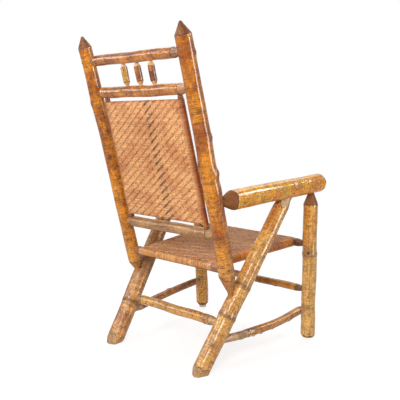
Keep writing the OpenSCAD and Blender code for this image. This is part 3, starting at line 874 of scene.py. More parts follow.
@dataclass
class Pole:
    """A natural pole: a turned blank that is sculpted, whittled and put in its place."""

    name: str
    line: Line
    first: float
    last: float
    thickness: tuple[Pair, ...]
    cuts: tuple[Cut, ...]
    seed: int
    knots: tuple[Knot, ...] = ()
    peels: tuple[Peel, ...] = ()
    bends: tuple[tuple[float, float, float, float], ...] = ()
    sag: Triple = (0.0, 0.0, 1.0)
    segments: int = 56
    step: float = 0.0045
    wander: float = 0.0009
    uneven: float = 0.016
    floor_cut: bool = False

    def build(self, material: Material, slot: str,
              bare: Material | None = None) -> bpy.types.Object:
        """Makes the pole's piece.

        Args:
            material: Its finish.
            slot: The record's material slot; not used.
            bare: The duller finish of its whittled parts, if they have their own.

        Returns:
            The new object.
        """
        bm = self._blank()
        self._sculpt(bm)
        if self.floor_cut:
            self._cut_at_floor(bm)
        bmesh.ops.recalc_face_normals(bm, faces=bm.faces)
        pole = finish_piece(bm, self.name, material, (self.name.removesuffix("_pole"),))
        if bare:
            self._dress_cuts(pole.data, bare)
        return pole

    def _dress_cuts(self, mesh: bpy.types.Mesh, bare: Material) -> None:
        """Gives the whittled faces their duller finish."""
        mesh.materials.append(bare)
        depth = np.empty(len(mesh.vertices), dtype=np.float32)
        mesh.attributes["cut"].data.foreach_get("value", depth)
        for face in mesh.polygons:
            face.material_index = int(min(depth[i] for i in face.vertices) > 0.0)

    def _rows(self) -> list[float]:
        """Distances along the pole of the blank's rings, closer where a knife or a knot shaped it."""
        before, after = CUT_MARGINS
        busy = [(min(c.inner, c.outer) - before, max(c.inner, c.outer) + after) for c in self.cuts]
        busy += [(k.along - KNOT_MARGIN * k.width, k.along + KNOT_MARGIN * k.width) for k in self.knots]
        busy += [(end - PEEL_MARGIN, end + PEEL_MARGIN) for p in self.peels for end in (p.start, p.end)]
        rows, s = [self.first], self.first
        while s < self.last - LAST_ROOM:
            close = any(low < s < high for low, high in busy)
            s += self.step * FINE_SHARE if close else self.step
            rows.append(min(s, self.last - LAST_RING))
        rows.append(self.last)
        return rows

    def _blank(self) -> BMesh:
        """Turns the blank: a profile spun round Z, closed at both ends.

        Returns:
            The blank, with its distance along the pole as z.
        """
        rows = self._rows()
        profile = [(0.0, rows[0]), (0.9, rows[0])]
        profile += [(1.0, s) for s in rows[1:-1]]
        profile += [(0.95, rows[-1]), (0.5, rows[-1]), (0.0, rows[-1])]
        return turned(profile, self.segments)

    def _bark_radius(self, theta: Array, s: Array,
                     angles: list[float]) -> tuple[Array, Array]:
        """The bark's radius and how dark its knots make it.

        Args:
            theta: Angle round the pole at each vertex.
            s: Distance along it.
            angles: Angle that each knot faces.

        Returns:
            Radius and knot darkness at each vertex.
        """
        rng = np.random.default_rng(self.seed)
        given = np.array(self.thickness)
        base = np.interp(s, given[:, 0], given[:, 1])
        r = base.copy()
        for harmonic in (0, 1, 2, 2, 3, 4):
            length = rng.uniform(0.07, 0.3)
            phase, sway = rng.uniform(0, 2 * math.pi, 2)
            amount = self.uneven / (1 + 0.5 * harmonic)
            r += base * amount * np.cos(harmonic * theta + phase) * np.cos(2 * math.pi * s / length + sway)
        dark = np.zeros_like(s)
        for knot, angle in zip(self.knots, angles):
            turn = np.abs((theta - angle + math.pi) % (2 * math.pi) - math.pi)
            ds = s - knot.along
            near = np.exp(-((turn * base) ** 2 + ds**2) / (2 * knot.width**2))
            if knot.kind is RING:
                lean = 0.25 * knot.width * np.cos(theta - angle)
                band = np.exp(-((ds + lean) ** 2) / (2 * (knot.width * 0.5) ** 2))
                r += knot.height * band * (0.75 + 0.25 * np.cos(theta - angle))
                dark = np.maximum(dark, knot.dark * band)
            elif knot.kind is PIT:
                pit = np.exp(-((turn * base) ** 2 + ds**2) / (2 * (knot.width * 0.36) ** 2))
                r += knot.height * near - 1.6 * knot.height * pit
                dark = np.maximum(dark, np.maximum(pit, 0.5 * knot.dark * near))
            else:
                r += knot.height * near
                dark = np.maximum(dark, knot.dark * near)
        return r, dark

    def _cut_radius(self, cut: Cut, theta: Array, s: Array) -> tuple[Array, float]:
        """The knife planes' distance from the pole's line.

        Args:
            cut: The whittled end.
            theta: Angle round the pole at each vertex.
            s: Distance along it.

        Returns:
            Radius left by the knife, and the slope of the cut.
        """
        given = np.array(self.thickness)
        bark = float(np.interp(cut.outer, given[:, 0], given[:, 1]))
        t = (s - cut.inner) / (cut.outer - cut.inner)
        cone = cut.radius + (bark - cut.radius) * t
        rng = np.random.default_rng(cut.seed)
        left = np.full_like(s, math.inf)
        for plane in range(cut.planes):
            middle = 2 * math.pi * (plane + rng.uniform(-KNIFE_SWAY, KNIFE_SWAY)) / cut.planes
            depth = cone * (math.cos(math.pi / cut.planes) ** KNIFE_DEPTH) + rng.uniform(-1, 1) * cut.rough
            left = np.minimum(left, depth / np.maximum(np.cos(theta - middle), KNIFE_COSINE))
        left = np.where(t < 0, cut.radius, np.maximum(left, cut.radius * KNIFE_CORE))
        return left, (bark - cut.radius) / abs(cut.outer - cut.inner)

    def _axes(self) -> tuple[Vector, Vector]:
        """Two directions square to the pole and to each other."""
        z = self.line.direction
        x = (Vector((0, 0, 1)) if abs(z.z) < 0.9 else Vector((0, -1, 0))).cross(z).normalized()
        return x, z.cross(x)

    def _sculpt(self, bm: BMesh) -> None:
        """Moves the blank's vertices to bark, knots, knife planes and natural wander, and into place.

        Args:
            bm: The blank, which also gets the layers that the finish reads.
        """
        co = np.array([v.co for v in bm.verts])
        theta = np.arctan2(co[:, 1], co[:, 0])
        s = co[:, 2]
        x, y = self._axes()
        angles = [math.atan2(Vector(k.facing).dot(y), Vector(k.facing).dot(x)) for k in self.knots]
        r, dark = self._bark_radius(theta, s, angles)
        r, cut_at, tone = self._whittled_radius(r, theta, s)
        radius = r * np.hypot(co[:, 0], co[:, 1])
        base = np.array(self.line.origin) + np.outer(s, np.array(self.line.direction))
        base += self._wander_offset(s)
        base += np.outer(radius * np.cos(theta), np.array(x)) + np.outer(radius * np.sin(theta), np.array(y))
        nominal = float(self.thickness[0][1])
        grain = bm.verts.layers.float_vector.new("grain")
        values = {"cut": cut_at, "tone": tone, "knot": dark}
        layers = {key: bm.verts.layers.float.new(key) for key in values}
        for i, v in enumerate(bm.verts):
            v.co = base[i]
            flat = min(radius[i], nominal)
            v[grain] = (flat * math.cos(theta[i]), flat * math.sin(theta[i]), s[i] + GRAIN_STEP * self.seed)
            for key, layer in layers.items():
                v[layer] = float(values[key][i])

    def _whittled_radius(self, r: Array, theta: Array, s: Array) -> Whittled:
        """Takes the peels and the cuts off the bark's radius.

        Args:
            r: Radius of the bark at each vertex.
            theta: Angle round the pole.
            s: Distance along it.

        Returns:
            Radius, distance inside a cut and tone of the cut wood at each vertex.
        """
        cut_at = np.full_like(s, -1.0)
        tone = np.full_like(s, 0.5)
        for peel in self.peels:
            wavy = PEEL_WAVES[0] * np.sin(3 * theta + self.seed) + PEEL_WAVES[1] * np.sin(7 * theta)
            inside = np.minimum(s - peel.start, peel.end - s) + wavy
            r = r - peel.depth * np.clip(inside / PEEL_STEP, 0, 1)
            cut_at = np.maximum(cut_at, inside)
            tone = np.where(inside > -PEEL_TONE, peel.tone, tone)
        for cut in self.cuts:
            left, slope = self._cut_radius(cut, theta, s)
            depth = (r - left) / slope
            here = np.abs(s - cut.inner) < np.abs(cut.outer - cut.inner) + CUT_REACH
            here |= (s - cut.inner) * (cut.outer - cut.inner) < 0
            cut_at = np.where(here, np.maximum(cut_at, depth), cut_at)
            tone = np.where(here, cut.tone, tone)
            r = np.where(here, np.minimum(r, left), r)
        return r, cut_at, tone

    def _wander_offset(self, s: Array) -> Array:
        """World offsets of the pole's line: its natural wander, its sag and its bends.

        Args:
            s: Distance along the pole at each vertex.

        Returns:
            An offset for each vertex.
        """
        rng = np.random.default_rng(self.seed + 500)
        ends = np.sin(math.pi * np.clip((s - self.first) / (self.last - self.first), 0, 1))
        offset = np.zeros((len(s), 3))
        for axis in self._axes():
            length, phase = rng.uniform(0.18, 0.45), rng.uniform(0, 2 * math.pi)
            offset += np.outer(self.wander * ends * np.sin(2 * math.pi * s / length + phase), np.array(axis))
        down, low, high = self.sag
        bow = down * np.clip(1 - ((2 * s - low - high) / (high - low)) ** 2, 0, None)
        z = self.line.direction
        offset += np.outer(bow, np.array((Vector((0, 0, -1)) + z * z.z).normalized()))
        return offset + self._bend_offset(s)

    def _bend_offset(self, s: Array) -> Array:
        """World offsets by the given bends, smoothed between them.

        Args:
            s: Distance along the pole at each vertex.

        Returns:
            An offset for each vertex.
        """
        out = np.zeros((len(s), 3))
        if not self.bends:
            return out
        given = np.array(self.bends)
        for axis in range(3):
            for shift in BEND_WINDOW:
                out[:, axis] += np.interp(s + shift, given[:, 0], given[:, axis + 1]) / len(BEND_WINDOW)
        return out

    def _cut_at_floor(self, bm: BMesh) -> None:
        """Saws the foot off flat at the floor and closes it."""
        geom = list(bm.verts) + list(bm.edges) + list(bm.faces)
        bmesh.ops.bisect_plane(bm, geom=geom, dist=1e-6, plane_co=(0, 0, 0), plane_no=(0, 0, 1),
                               clear_inner=True)
        rim = [e for e in bm.edges if e.is_boundary]
        made = bmesh.ops.holes_fill(bm, edges=rim, sides=0)["faces"]
        inner = bmesh.ops.inset_region(bm, faces=made, thickness=0.0015, use_even_offset=True)["faces"]
        bmesh.ops.poke(bm, faces=[f for f in made if f.is_valid and f not in inner])


def rail(name: str, start: Line, end: Vector, skins: Pair, radius: float, tenon: float,
         shoulder: float, seed: int, tones: Pair = (0.5, 0.5), **more: object) -> Pole:
    """A straight pole between two hosts, whittled to a tenon at each end.

    Args:
        name: Name of the CAD node that it stands for.
        start: Its line, from the first host's centre line.
        end: Where it meets the second host's centre line.
        skins: Distances from each host's centre line to its skin.
        radius: Radius in its bark.
        tenon: Radius of the tenons.
        shoulder: Length of the whittled shoulders.
        seed: Number that fixes its natural unevenness.
        tones: Tone of the cut wood at its two ends.
        more: Further fields of the pole.

    Returns:
        The pole.
    """
    length = (end - start.origin).length
    near, far = skins[0] + Layout.neck, length - skins[1] - Layout.neck
    past = more.pop("past", Layout.tenon_past)
    cuts = (
        Cut(near, near + shoulder, tenon, tones[0], 12, seed * 7 + 1),
        Cut(far, far - shoulder, tenon, tones[1], 12, seed * 7 + 2),
    )
    return Pole(name + "_pole", start, -past, length + past, ((0.0, radius), (length, radius)), cuts, seed,
                **more)


# Directions of the photographed side, for the knots that it shows
PICTURE_RIGHT = Vector((-0.7168, -0.6972, -0.0100))
PICTURE_NEAR = Vector((-0.6916, 0.7090, 0.1377))


def facing(across: float) -> Triple:
    """The direction of a knot that the photographed side shows.

    Args:
        across: From -1 at the pole's left outline to 1 at its right one.

    Returns:
        A world direction.
    """
    v = PICTURE_RIGHT * across + PICTURE_NEAR * math.sqrt(max(0.0, 1 - across * across))
    return tuple(v)


@dataclass
class BackFrame:
    """The two back posts, the three rails, the spindles and the side rods of the woven panel."""

    layout: Layout
    patterns: Patterns
    point_length: float = 0.038
    tip_radius: float = 0.003
    foot_taper: Pair = (0.0312, 0.052)
    post_tenon: float = 0.0095
    rail_tenon: float = 0.0105
    shoulder: float = 0.024
    crest: Pair = (1.007, 0.0165)
    upper: Pair = (0.903, 0.0175)
    rail_fullness: float = 0.0012
    rail_droop: float = 0.0022
    lower: Pair = (0.443, 0.019)
    spindle_radius: float = 0.0095
    spindle_fullness: float = 0.0016
    spindle_pitch: float = 0.067
    spindle_shift: float = -0.005
    spindle_taper: float = 0.011
    small_tenon: float = 0.006
    small_depth: float = 0.014
    rod_radius: float = 0.009
    panel_top: float = 0.349
    panel_foot: float = 0.363
    panel_left: Pair = (0.009, 0.012)
    post_bark: BarkFinish = BarkFinish(
        "post_bark", (232, 146, 34), (172, 91, 20), (80, 41, 20), (58, 32, 18), (206, 146, 84), (112, 64, 40),
        mottling=0.5, ringing=0.9, wear=0.5)
    rail_bark: BarkFinish = BarkFinish(
        "rail_bark", (226, 148, 64), (180, 104, 46), (88, 48, 28), (54, 30, 18), (196, 140, 92), (84, 48, 32),
        mottling=0.5, ringing=1.0, blooming=0.45, streaking=0.35)
    peeled: BarkFinish = BarkFinish(
        "peeled_pole", (196, 148, 92), (168, 118, 68), (108, 72, 42), (74, 48, 34), mottling=0.5,
        ringing=0.35, blooming=0.3, roughness=0.3, streaking=0.6)
    # Bark of the centre and right spindles and the panel rods; its strong dark streaks along the pole are
    # partly bark streaks and partly painted dark reflection
    dark_bark: BarkFinish = BarkFinish(
        "dark_pole", (206, 124, 54), (140, 74, 34), (64, 32, 18), (40, 22, 14), (214, 160, 100),
        (110, 64, 36), mottling=0.5, ringing=0.6, streaking=0.7, level=0.4)
    # Bark of the left spindle; its strong dark streaks along the pole are partly bark streaks and partly
    # painted dark reflection
    spindle_bark: BarkFinish = BarkFinish(
        "golden_spindle", (236, 188, 84), (200, 140, 50), (92, 52, 20), (50, 28, 16), (214, 160, 100),
        (110, 64, 36), mottling=0.5, ringing=0.6, streaking=0.8, level=0.5)

    def build(self) -> None:
        """Makes every pole of the back."""
        bark = self.post_bark.material(self.patterns)
        paler = replace(self.post_bark, name="left_post_bark", worn=(248, 172, 66),
                        wear=1.0).material(self.patterns)
        bare = self.post_bark.bare("post_whittling").material(self.patterns)
        for side in Side:
            self._post(side).build(paler if side is Side.LEFT else bark, "bark_pole", bare)
        rails = self.rail_bark.material(self.patterns)
        self._cross("crest_rail", self.crest, 11, (0.5, 0.2), (
            Knot(0.25, facing(-0.2), 0.0012, 0.008), Knot(0.388, facing(0.1), 0.001, 0.007, PIT, 0.6),
        )).build(rails, "rail_bark")
        self._cross("upper_back_rail", self.upper, 12, (0.45, 0.6), (
            Knot(0.17, facing(0.5), 0.001, 0.007), Knot(0.44, facing(0.3), 0.0014, 0.006, PIT, 0.8),
        )).build(rails, "rail_bark")
        self._cross("lower_back_rail", self.lower, 13, (0.6, 0.45), (
            Knot(0.2, facing(-0.3), 0.001, 0.01, BUMP, 0.3),
        )).build(self.peeled.material(self.patterns), "peeled_pole")
        dark = self.dark_bark.material(self.patterns)
        gold = self.spindle_bark.material(self.patterns)
        for i, name in ((1, "left_spindle"), (0, "centre_spindle"), (-1, "right_spindle")):
            self._spindle(i, name).build(gold if i > 0 else dark, "dark_pole")
        for side in Side:
            self._rod(side).build(dark, "dark_pole")
        for name in ("top_panel_rod", "bottom_panel_rod"):
            dress_node(name, self.dark_bark.material(self.patterns, Pattern.OBJECT))

    def _post(self, side: Side) -> Pole:
        """A back post, whittled to a point above and to a tenon below.

        Args:
            side: Side of the chair.

        Returns:
            The pole.
        """
        lay = self.layout
        line = lay.post(side)
        r = lay.pick(side, lay.post_radius)
        whole = (lay.tip(side) - line.origin).length
        leg = lay.rear_leg(side).direction
        foot = reach(lay.pick(side, lay.rear_leg_radius), leg, line.direction, self.post_tenon) + lay.neck
        taper = lay.pick(side, self.foot_taper)
        right = side is Side.RIGHT
        cuts = (
            Cut(foot, foot + taper, self.post_tenon, 0.5, 8, 21 + side.value, 0.0012),
            Cut(whole, whole - self.point_length, self.tip_radius, 0.05, 10, 31 + side.value, 0.0006),
        )
        knots = (
            Knot(0.8226, facing(1.0), 0.0022, 0.007), Knot(0.5694, facing(1.0), 0.0024, 0.008),
            Knot(0.4548, facing(0.98), 0.006, 0.011, BUMP, 0.35),
            Knot(0.405, facing(0.98), 0.0036, 0.022, BUMP, 0.2),
            Knot(0.478, facing(-0.92), 0.0032, 0.016, BUMP, 0.45),
            Knot(0.655, facing(0.2), 0.0006, 0.008, BUMP, 0.6),
            Knot(0.1066, facing(-0.98), 0.0042, 0.007, BUMP, 0.3),
        ) if right else (
            Knot(0.6898, facing(-0.95), 0.0022, 0.008), Knot(0.5867, facing(0.42), 0.0012, 0.007, PIT, 0.7),
            Knot(0.4904, facing(-0.25), 0.0014, 0.008, BUMP, 0.6),
            Knot(0.25, facing(0.9), 0.002, 0.008),
        )
        if right:
            shares = ((0.0, 1.02), (0.25, 1.02), (0.38, 1.05), (0.6, 1.03), (0.75, 1.0), (whole, 0.99))
            bends = ((0.0, 0, 0, 0), (0.4, -0.0012, 0, 0), (0.78, 0, 0, 0), (whole - 0.04, 0.0015, 0.001, 0),
                     (whole, 0.0042, 0.0025, 0))
        else:
            shares = ((0.0, 1.02), (0.3, 1.0), (0.6, 0.995), (whole, 0.99))
            bends = ((0.0, 0, 0, 0), (0.28, 0, 0, 0), (0.4, -0.0052, 0, 0), (0.84, -0.0052, 0, 0),
                     (whole, -0.0015, 0, 0))
        thickness = tuple((along, r * share) for along, share in shares)
        return Pole(side.named("back_post_pole"), line, -lay.tenon_past, whole, thickness, cuts,
                    3 if right else 4, knots, bends=bends)

    def _cross(self, node: str, rail_size: Pair, seed: int, tones: Pair,
               knots: tuple[Knot, ...]) -> Pole:
        """A rail between the back posts.

        Args:
            node: Name of its CAD node.
            rail_size: Height and radius.
            seed: Number that fixes its unevenness.
            tones: Tone of the cut wood at its left and right end.
            knots: Its knots, measured from the left post.

        Returns:
            The pole.
        """
        lay = self.layout
        z, radius = rail_size
        a = lay.post(Side.LEFT).at_height(z)
        b = lay.post(Side.RIGHT).at_height(z)
        across = Vector((-1, 0, 0))
        skins = tuple(reach(r, lay.post(side).direction, across, self.rail_tenon)
                      for r, side in zip(lay.post_radius, Side))
        droop = self.rail_droop if rail_size is self.upper else 0.0
        full = radius + (self.rail_fullness if rail_size is not self.lower else 0.0)
        return rail(node, Line(a, across), b, skins, full, self.rail_tenon, self.shoulder, seed, tones,
                    knots=knots, segments=44, sag=(droop, 0.0, (b - a).length))

    def _spindle(self, i: int, name: str) -> Pole:
        """A spindle between the crest rail and the upper rail.

        Args:
            i: Its place: 1 for the left one, 0 for the centre one and -1 for the right one.
            name: Name of its CAD node.

        Returns:
            The pole.
        """
        lay = self.layout
        x = Vector((self.spindle_shift + i * self.spindle_pitch, 0, 0))
        a, b = lay.back_middle(self.upper[0]) + x, lay.back_middle(self.crest[0]) + x
        return rail(name, Line(a, lay.back_up), b, (self.upper[1], self.crest[1]),
                    self.spindle_radius + self.spindle_fullness, self.small_tenon, self.spindle_taper, 17 + i,
                    (0.85, 0.8), segments=28, step=0.004, wander=0.0006,
                    past=self.small_depth - self.upper[1])

    def rod_ends(self, side: Side) -> tuple[Vector, Vector]:
        """Where a side rod's line meets the lower and the upper rail's.

        Args:
            side: Side of the chair.

        Returns:
            The lower and the upper point.
        """
        lay = self.layout
        top, foot = self.panel_left if side is Side.LEFT else (0.0, 0.0)
        return (lay.back_middle(self.lower[0]) + Vector((side.value * self.panel_foot / 2 + foot, 0, 0)),
                lay.back_middle(self.upper[0]) + Vector((side.value * self.panel_top / 2 + top, 0, 0)))

    def _rod(self, side: Side) -> Pole:
        """A slim side rod that the back's cane wraps.

        Args:
            side: Side of the chair.

        Returns:
            The pole.
        """
        a, b = self.rod_ends(side)
        length = (b - a).length
        low, high, r = self.lower[1], length - self.upper[1], self.rod_radius
        cuts = (Cut(low - 0.003, low + 0.001, self.small_tenon, 0.3, 8, 3),
                Cut(high + 0.003, high - 0.001, self.small_tenon, 0.3, 8, 4))
        return Pole(side.named("panel_rod_pole"), Line(a, (b - a).normalized()), low - self.small_depth,
                    high + self.small_depth, ((0, r), (length, r)), cuts, 23 + side.value,
                    segments=24, step=0.008, wander=0.0, uneven=0.004)


def dress_node(name: str, material: Material) -> None:
    """Gives a CAD node that stays in view its finish."""
    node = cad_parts[name]
    for slot in node.material_slots:
        slot.material = material
    log.info("%s: kept, with a new finish", name)


@dataclass
class LegsAndArms:
    """The rear and front legs, the arms, the stretchers and the glides."""

    layout: Layout
    patterns: Patterns
    arm_tenon: float = 0.012
    rail_tenon: float = 0.0105
    shoulder: float = 0.024
    foot_taper: float = 0.018
    foot_radius: Pair = (0.026, 0.022)
    leg_slimming: float = 0.005
    leg_top_taper: float = 0.030
    leg_top_radius: float = 0.0205
    front_cone: float = 0.037
    front_foot_taper: Pair = (0.012, 0.008)
    front_foot_radius: Pair = (0.0155, 0.021)
    front_foot_lift: Pair = (0.009, 0.002)
    glide_radius: float = 0.0155
    glide_height: float = 0.009
    glide_pin: float = 0.0022
    arm_cone: float = 0.045
    arm_front_taper: float = 0.022
    arm_end_radius: float = 0.017
    rear_stretcher: Pair = (0.146, 0.017)
    front_stretcher: Pair = (0.181, 0.014)
    side_radius: float = 0.0145
    side_rear_height: Pair = (0.093, 0.088)
    side_front_height: Pair = (0.125, 0.116)
    side_bow: Pair = (-0.004, 0.012)
    rear_bark: BarkFinish = BarkFinish(
        "rear_leg_bark", (248, 188, 92), (216, 143, 56), (122, 70, 36), (80, 48, 26), mottling=0.55,
        ringing=0.7, gritting=0.6, wear=0.4)
    brown_bark: BarkFinish = BarkFinish(
        "brown_leg_bark", (230, 164, 84), (184, 118, 54), (92, 54, 30), (52, 30, 20), mottling=0.5,
        ringing=0.8, gritting=0.6, roughness=0.26)
    front_bark: BarkFinish = BarkFinish(
        "front_leg_bark", (250, 184, 84), (214, 138, 48), (108, 62, 32), (62, 36, 22), (170, 112, 64),
        (106, 66, 42), mottling=0.4, ringing=0.6, wear=0.8, streaking=0.35)
    arm_bark: BarkFinish = BarkFinish(
        "arm_bark", (255, 190, 56), (254, 156, 34), (130, 72, 24), (66, 38, 22), (160, 106, 60),
        (118, 72, 42), bloom=(196, 142, 76), mottling=0.55, ringing=1.0, roughness=0.14)
    stretcher_bark: BarkFinish = BarkFinish(
        "stretcher_bark", (226, 158, 66), (186, 114, 42), (96, 56, 28), (56, 34, 20), bloom=(170, 120, 74),
        mottling=0.6, ringing=0.7, streaking=0.4)
    dark_stretcher_bark: BarkFinish = BarkFinish(
        "dark_stretcher_bark", (212, 142, 62), (164, 100, 38), (84, 46, 20), (46, 28, 18),
        bloom=(150, 104, 60), mottling=0.6, ringing=0.6)
    glide_finish: SmallPartFinish = SmallPartFinish("glide", (226, 220, 206), (188, 180, 166), 0.0, 0.45, 160)

    def build(self) -> None:
        """Makes the legs, arms, stretchers and glides."""
        rear = self.rear_bark.material(self.patterns)
        brown = self.brown_bark.material(self.patterns)
        front = self.front_bark.material(self.patterns)
        far = replace(self.front_bark, name="left_leg_bark", light=(255, 190, 86), mid=(250, 152, 58),
                      worn=(250, 190, 96), gritting=0.8).material(self.patterns)
        arm = self.arm_bark.material(self.patterns)
        cone = self.arm_bark.bare("arm_whittling").material(self.patterns)
        peg = self.front_bark.bare("leg_whittling").material(self.patterns)
        plain = self.stretcher_bark.material(self.patterns)
        glide = self.glide_finish.material()
        for side in Side:
            self._rear_leg(side).build(rear if side is Side.RIGHT else brown, "bark_pole")
            self._front_leg(side).build(front if side is Side.RIGHT else far, "bark_pole", peg)
            self._arm(side).build(arm, "arm_bark", cone)
            self._glide(side, glide)
        self._side_stretcher(Side.LEFT).build(self.dark_stretcher_bark.material(self.patterns), "bark_pole")
        self._side_stretcher(Side.RIGHT).build(plain, "bark_pole")
        self._cross("rear_stretcher").build(rear, "bark_pole")
        self._cross("front_stretcher").build(plain, "bark_pole")

    def _rear_leg(self, side: Side) -> Pole:
        """A rear leg, sawn flat at the floor, with its top whittled to the arm.

        Args:
            side: Side of the chair.

        Returns:
            The pole.
        """
        lay = self.layout
        line = lay.rear_leg(side)
        r = lay.pick(side, lay.rear_leg_radius)
        whole = (lay.rear_top(side) - line.origin).length
        skin = reach(lay.arm_radius, lay.arm(side).direction, line.direction)
        # The foot's taper goes on under the floor, where the saw takes it off
        below = foot_r = lay.pick(side, self.foot_radius)
        below_r = foot_r - below * (r - foot_r) / self.foot_taper
        right = side is Side.RIGHT
        bark_end = whole - skin - self.leg_top_taper
        cuts = (
            Cut(-below, self.foot_taper, below_r, 0.6, 6, 41 + side.value, 0.0014),
            Cut(whole - skin, bark_end, self.leg_top_radius, 0.62, 7, 45 + side.value, 0.001),
        )
        knots = (
            Knot(0.3193, facing(0.2), 0.0016, 0.010, RING, 0.55),
            Knot(0.3193, facing(0.15), 0.0012, 0.008, PIT, 0.7),
            Knot(0.2074, facing(0.15), 0.0022, 0.011, RING, 0.6),
            Knot(0.2074, facing(0.1), 0.0014, 0.009, PIT, 0.6),
            Knot(0.43, facing(0.5), 0.0012, 0.006, PIT, 0.8),
            Knot(0.1, facing(-0.25), 0.0008, 0.008, BUMP, 0.7),
        ) if right else (
            Knot(0.16, facing(0.4), 0.0014, 0.010, RING, 0.5),
            Knot(0.29, facing(-0.3), 0.0016, 0.009, PIT, 0.6),
            # A broad faint dark patch below the seat: partly darker bark and partly painted shadow of the
            # seat
            Knot(0.315, facing(0.2), 0.0004, 0.045, BUMP, 0.5),
        )
        brace = lay.brace_height / math.cos(math.radians(lay.rear_leg_lean))
        slim = r - self.leg_slimming / 2
        bends = () if right else ((0.0, 0.003, 0.0018, 0), (0.2, 0.0035, 0.002, 0), (0.45, 0.004, 0.003, 0),
                                  (whole, 0.001, 0, 0))
        return Pole(side.named("rear_leg_pole"), line, -below, whole + lay.tenon_past,
                    ((0, r), (brace, r * 1.02), (bark_end, slim)), cuts, 5 if right else 6, knots,
                    bends=bends, floor_cut=True)

    def _front_leg(self, side: Side) -> Pole:
        """A front leg with a whittled cone under the arm and a chamfered foot.

        Args:
            side: Side of the chair.

        Returns:
            The pole.
        """
        lay = self.layout
        line = lay.front_leg(side)
        r = lay.front_leg_radius
        whole = (lay.front_top(side) - line.origin).length
        skin = reach(lay.arm_radius, lay.arm(side).direction, line.direction, self.arm_tenon)
        rise = line.direction.z
        foot_r = lay.pick(side, self.front_foot_radius)
        start = (lay.pick(side, self.front_foot_lift) + foot_r * math.sqrt(1 - rise * rise)) / rise
        taper, top = lay.pick(side, self.front_foot_taper), whole - skin - lay.neck
        cuts = (
            Cut(start, start + taper, foot_r, 0.5, 9, 51 + side.value, 0.0005),
            Cut(top, top - self.front_cone, self.arm_tenon, 0.3, 11, 55 + side.value, 0.0007),
        )
        knots = (
            Knot(0.3191, facing(-0.15), 0.0022, 0.011, RING, 0.45),
            Knot(0.3255, facing(-0.34), 0.0011, 0.015, PIT, 0.8),
            Knot(0.4, facing(0.6), 0.0007, 0.006), Knot(0.12, facing(-0.2), 0.0006, 0.006),
        ) if side is Side.RIGHT else (
            Knot(0.22, facing(0.3), 0.0014, 0.009, PIT, 0.7),
            Knot(0.41, facing(-0.5), 0.0018, 0.010, RING, 0.5),
        )
        return Pole(side.named("front_leg_pole"), line, start, whole + lay.tenon_past,
                    ((0, r * 1.01), (0.3, r), (whole, r * 0.99)), cuts, 7 if side is Side.RIGHT else 8, knots)

    def _arm(self, side: Side) -> Pole:
        """An arm with a whittled cone at the post and a chamfered flat front end.

        Args:
            side: Side of the chair.

        Returns:
            The pole.
        """
        lay = self.layout
        line = lay.arm(side)
        post = lay.post(side).direction
        skin = reach(lay.pick(side, lay.post_radius), post, line.direction, self.arm_tenon)
        whole = (lay.front_top(side) - line.origin).length + lay.arm_overhang
        rear = skin + lay.neck
        cuts = (
            Cut(rear, rear + self.arm_cone, self.arm_tenon, 0.2, 12, 61 + side.value, 0.0009),
            Cut(whole, whole - self.arm_front_taper, self.arm_end_radius, 0.4, 9, 65 + side.value, 0.0009),
        )
        knots = (
            Knot(0.28, facing(0.1), 0.0012, 0.008, PIT, 0.6), Knot(0.36, facing(-0.4), 0.001, 0.009),
            Knot(0.43, facing(0.1), 0.0012, 0.007, PIT, 0.5),
        )
        r = lay.arm_radius
        return Pole(side.named("arm_pole"), line, -lay.tenon_past, whole,
                    ((0, r), (0.2, r), (whole, r)), cuts, 9 if side is Side.RIGHT else 10, knots,
                    segments=64, uneven=0.012)

    def _side_stretcher(self, side: Side) -> Pole:
        """A bowed stretcher between a rear leg and a front leg.

        Args:
            side: Side of the chair.

        Returns:
            The pole.
        """
        lay = self.layout
        rear, front = lay.rear_leg(side), lay.front_leg(side)
        a = rear.at_height(lay.pick(side, self.side_rear_height))
        b = front.at_height(lay.pick(side, self.side_front_height))
        v = (b - a).normalized()
        skins = (reach(lay.pick(side, lay.rear_leg_radius), rear.direction, v, self.rail_tenon),
                 reach(lay.front_leg_radius, front.direction, v, self.rail_tenon))
        length = (b - a).length
        low, high = skins[0] + lay.neck + self.shoulder, length - skins[1] - lay.neck - self.shoulder
        right = side is Side.RIGHT
        knots = (
            Knot(0.173, facing(0.35), 0.003, 0.007), Knot(0.177, (0, 0, -1), 0.0045, 0.005, BUMP, 0.5),
            Knot(0.214, (0.1, 0, -1), 0.006, 0.0045, BUMP, 0.6),
            Knot(0.267, (0, 0, -1), 0.0032, 0.005, BUMP, 0.5),
            Knot(0.35, (-0.5, 0, -1), 0.002, 0.006), Knot(0.12, (0, 0, -1), 0.002, 0.006),
        ) if right else (
            Knot(0.245, (0.2, 0, 1), 0.003, 0.007), Knot(0.16, facing(0.4), 0.002, 0.007),
            Knot(0.33, facing(-0.4), 0.0018, 0.006, PIT, 0.7),
        )
        peels = (Peel(skins[0] + 0.01, 0.147, 0.0008, 0.42),) if right else ()
        return rail(side.named("stretcher"), Line(a, v), b, skins, self.side_radius, self.rail_tenon,
                    self.shoulder, 14 if right else 15, (0.7, 0.6), knots=knots, peels=peels,
                    sag=(lay.pick(side, self.side_bow), low, high), segments=40)

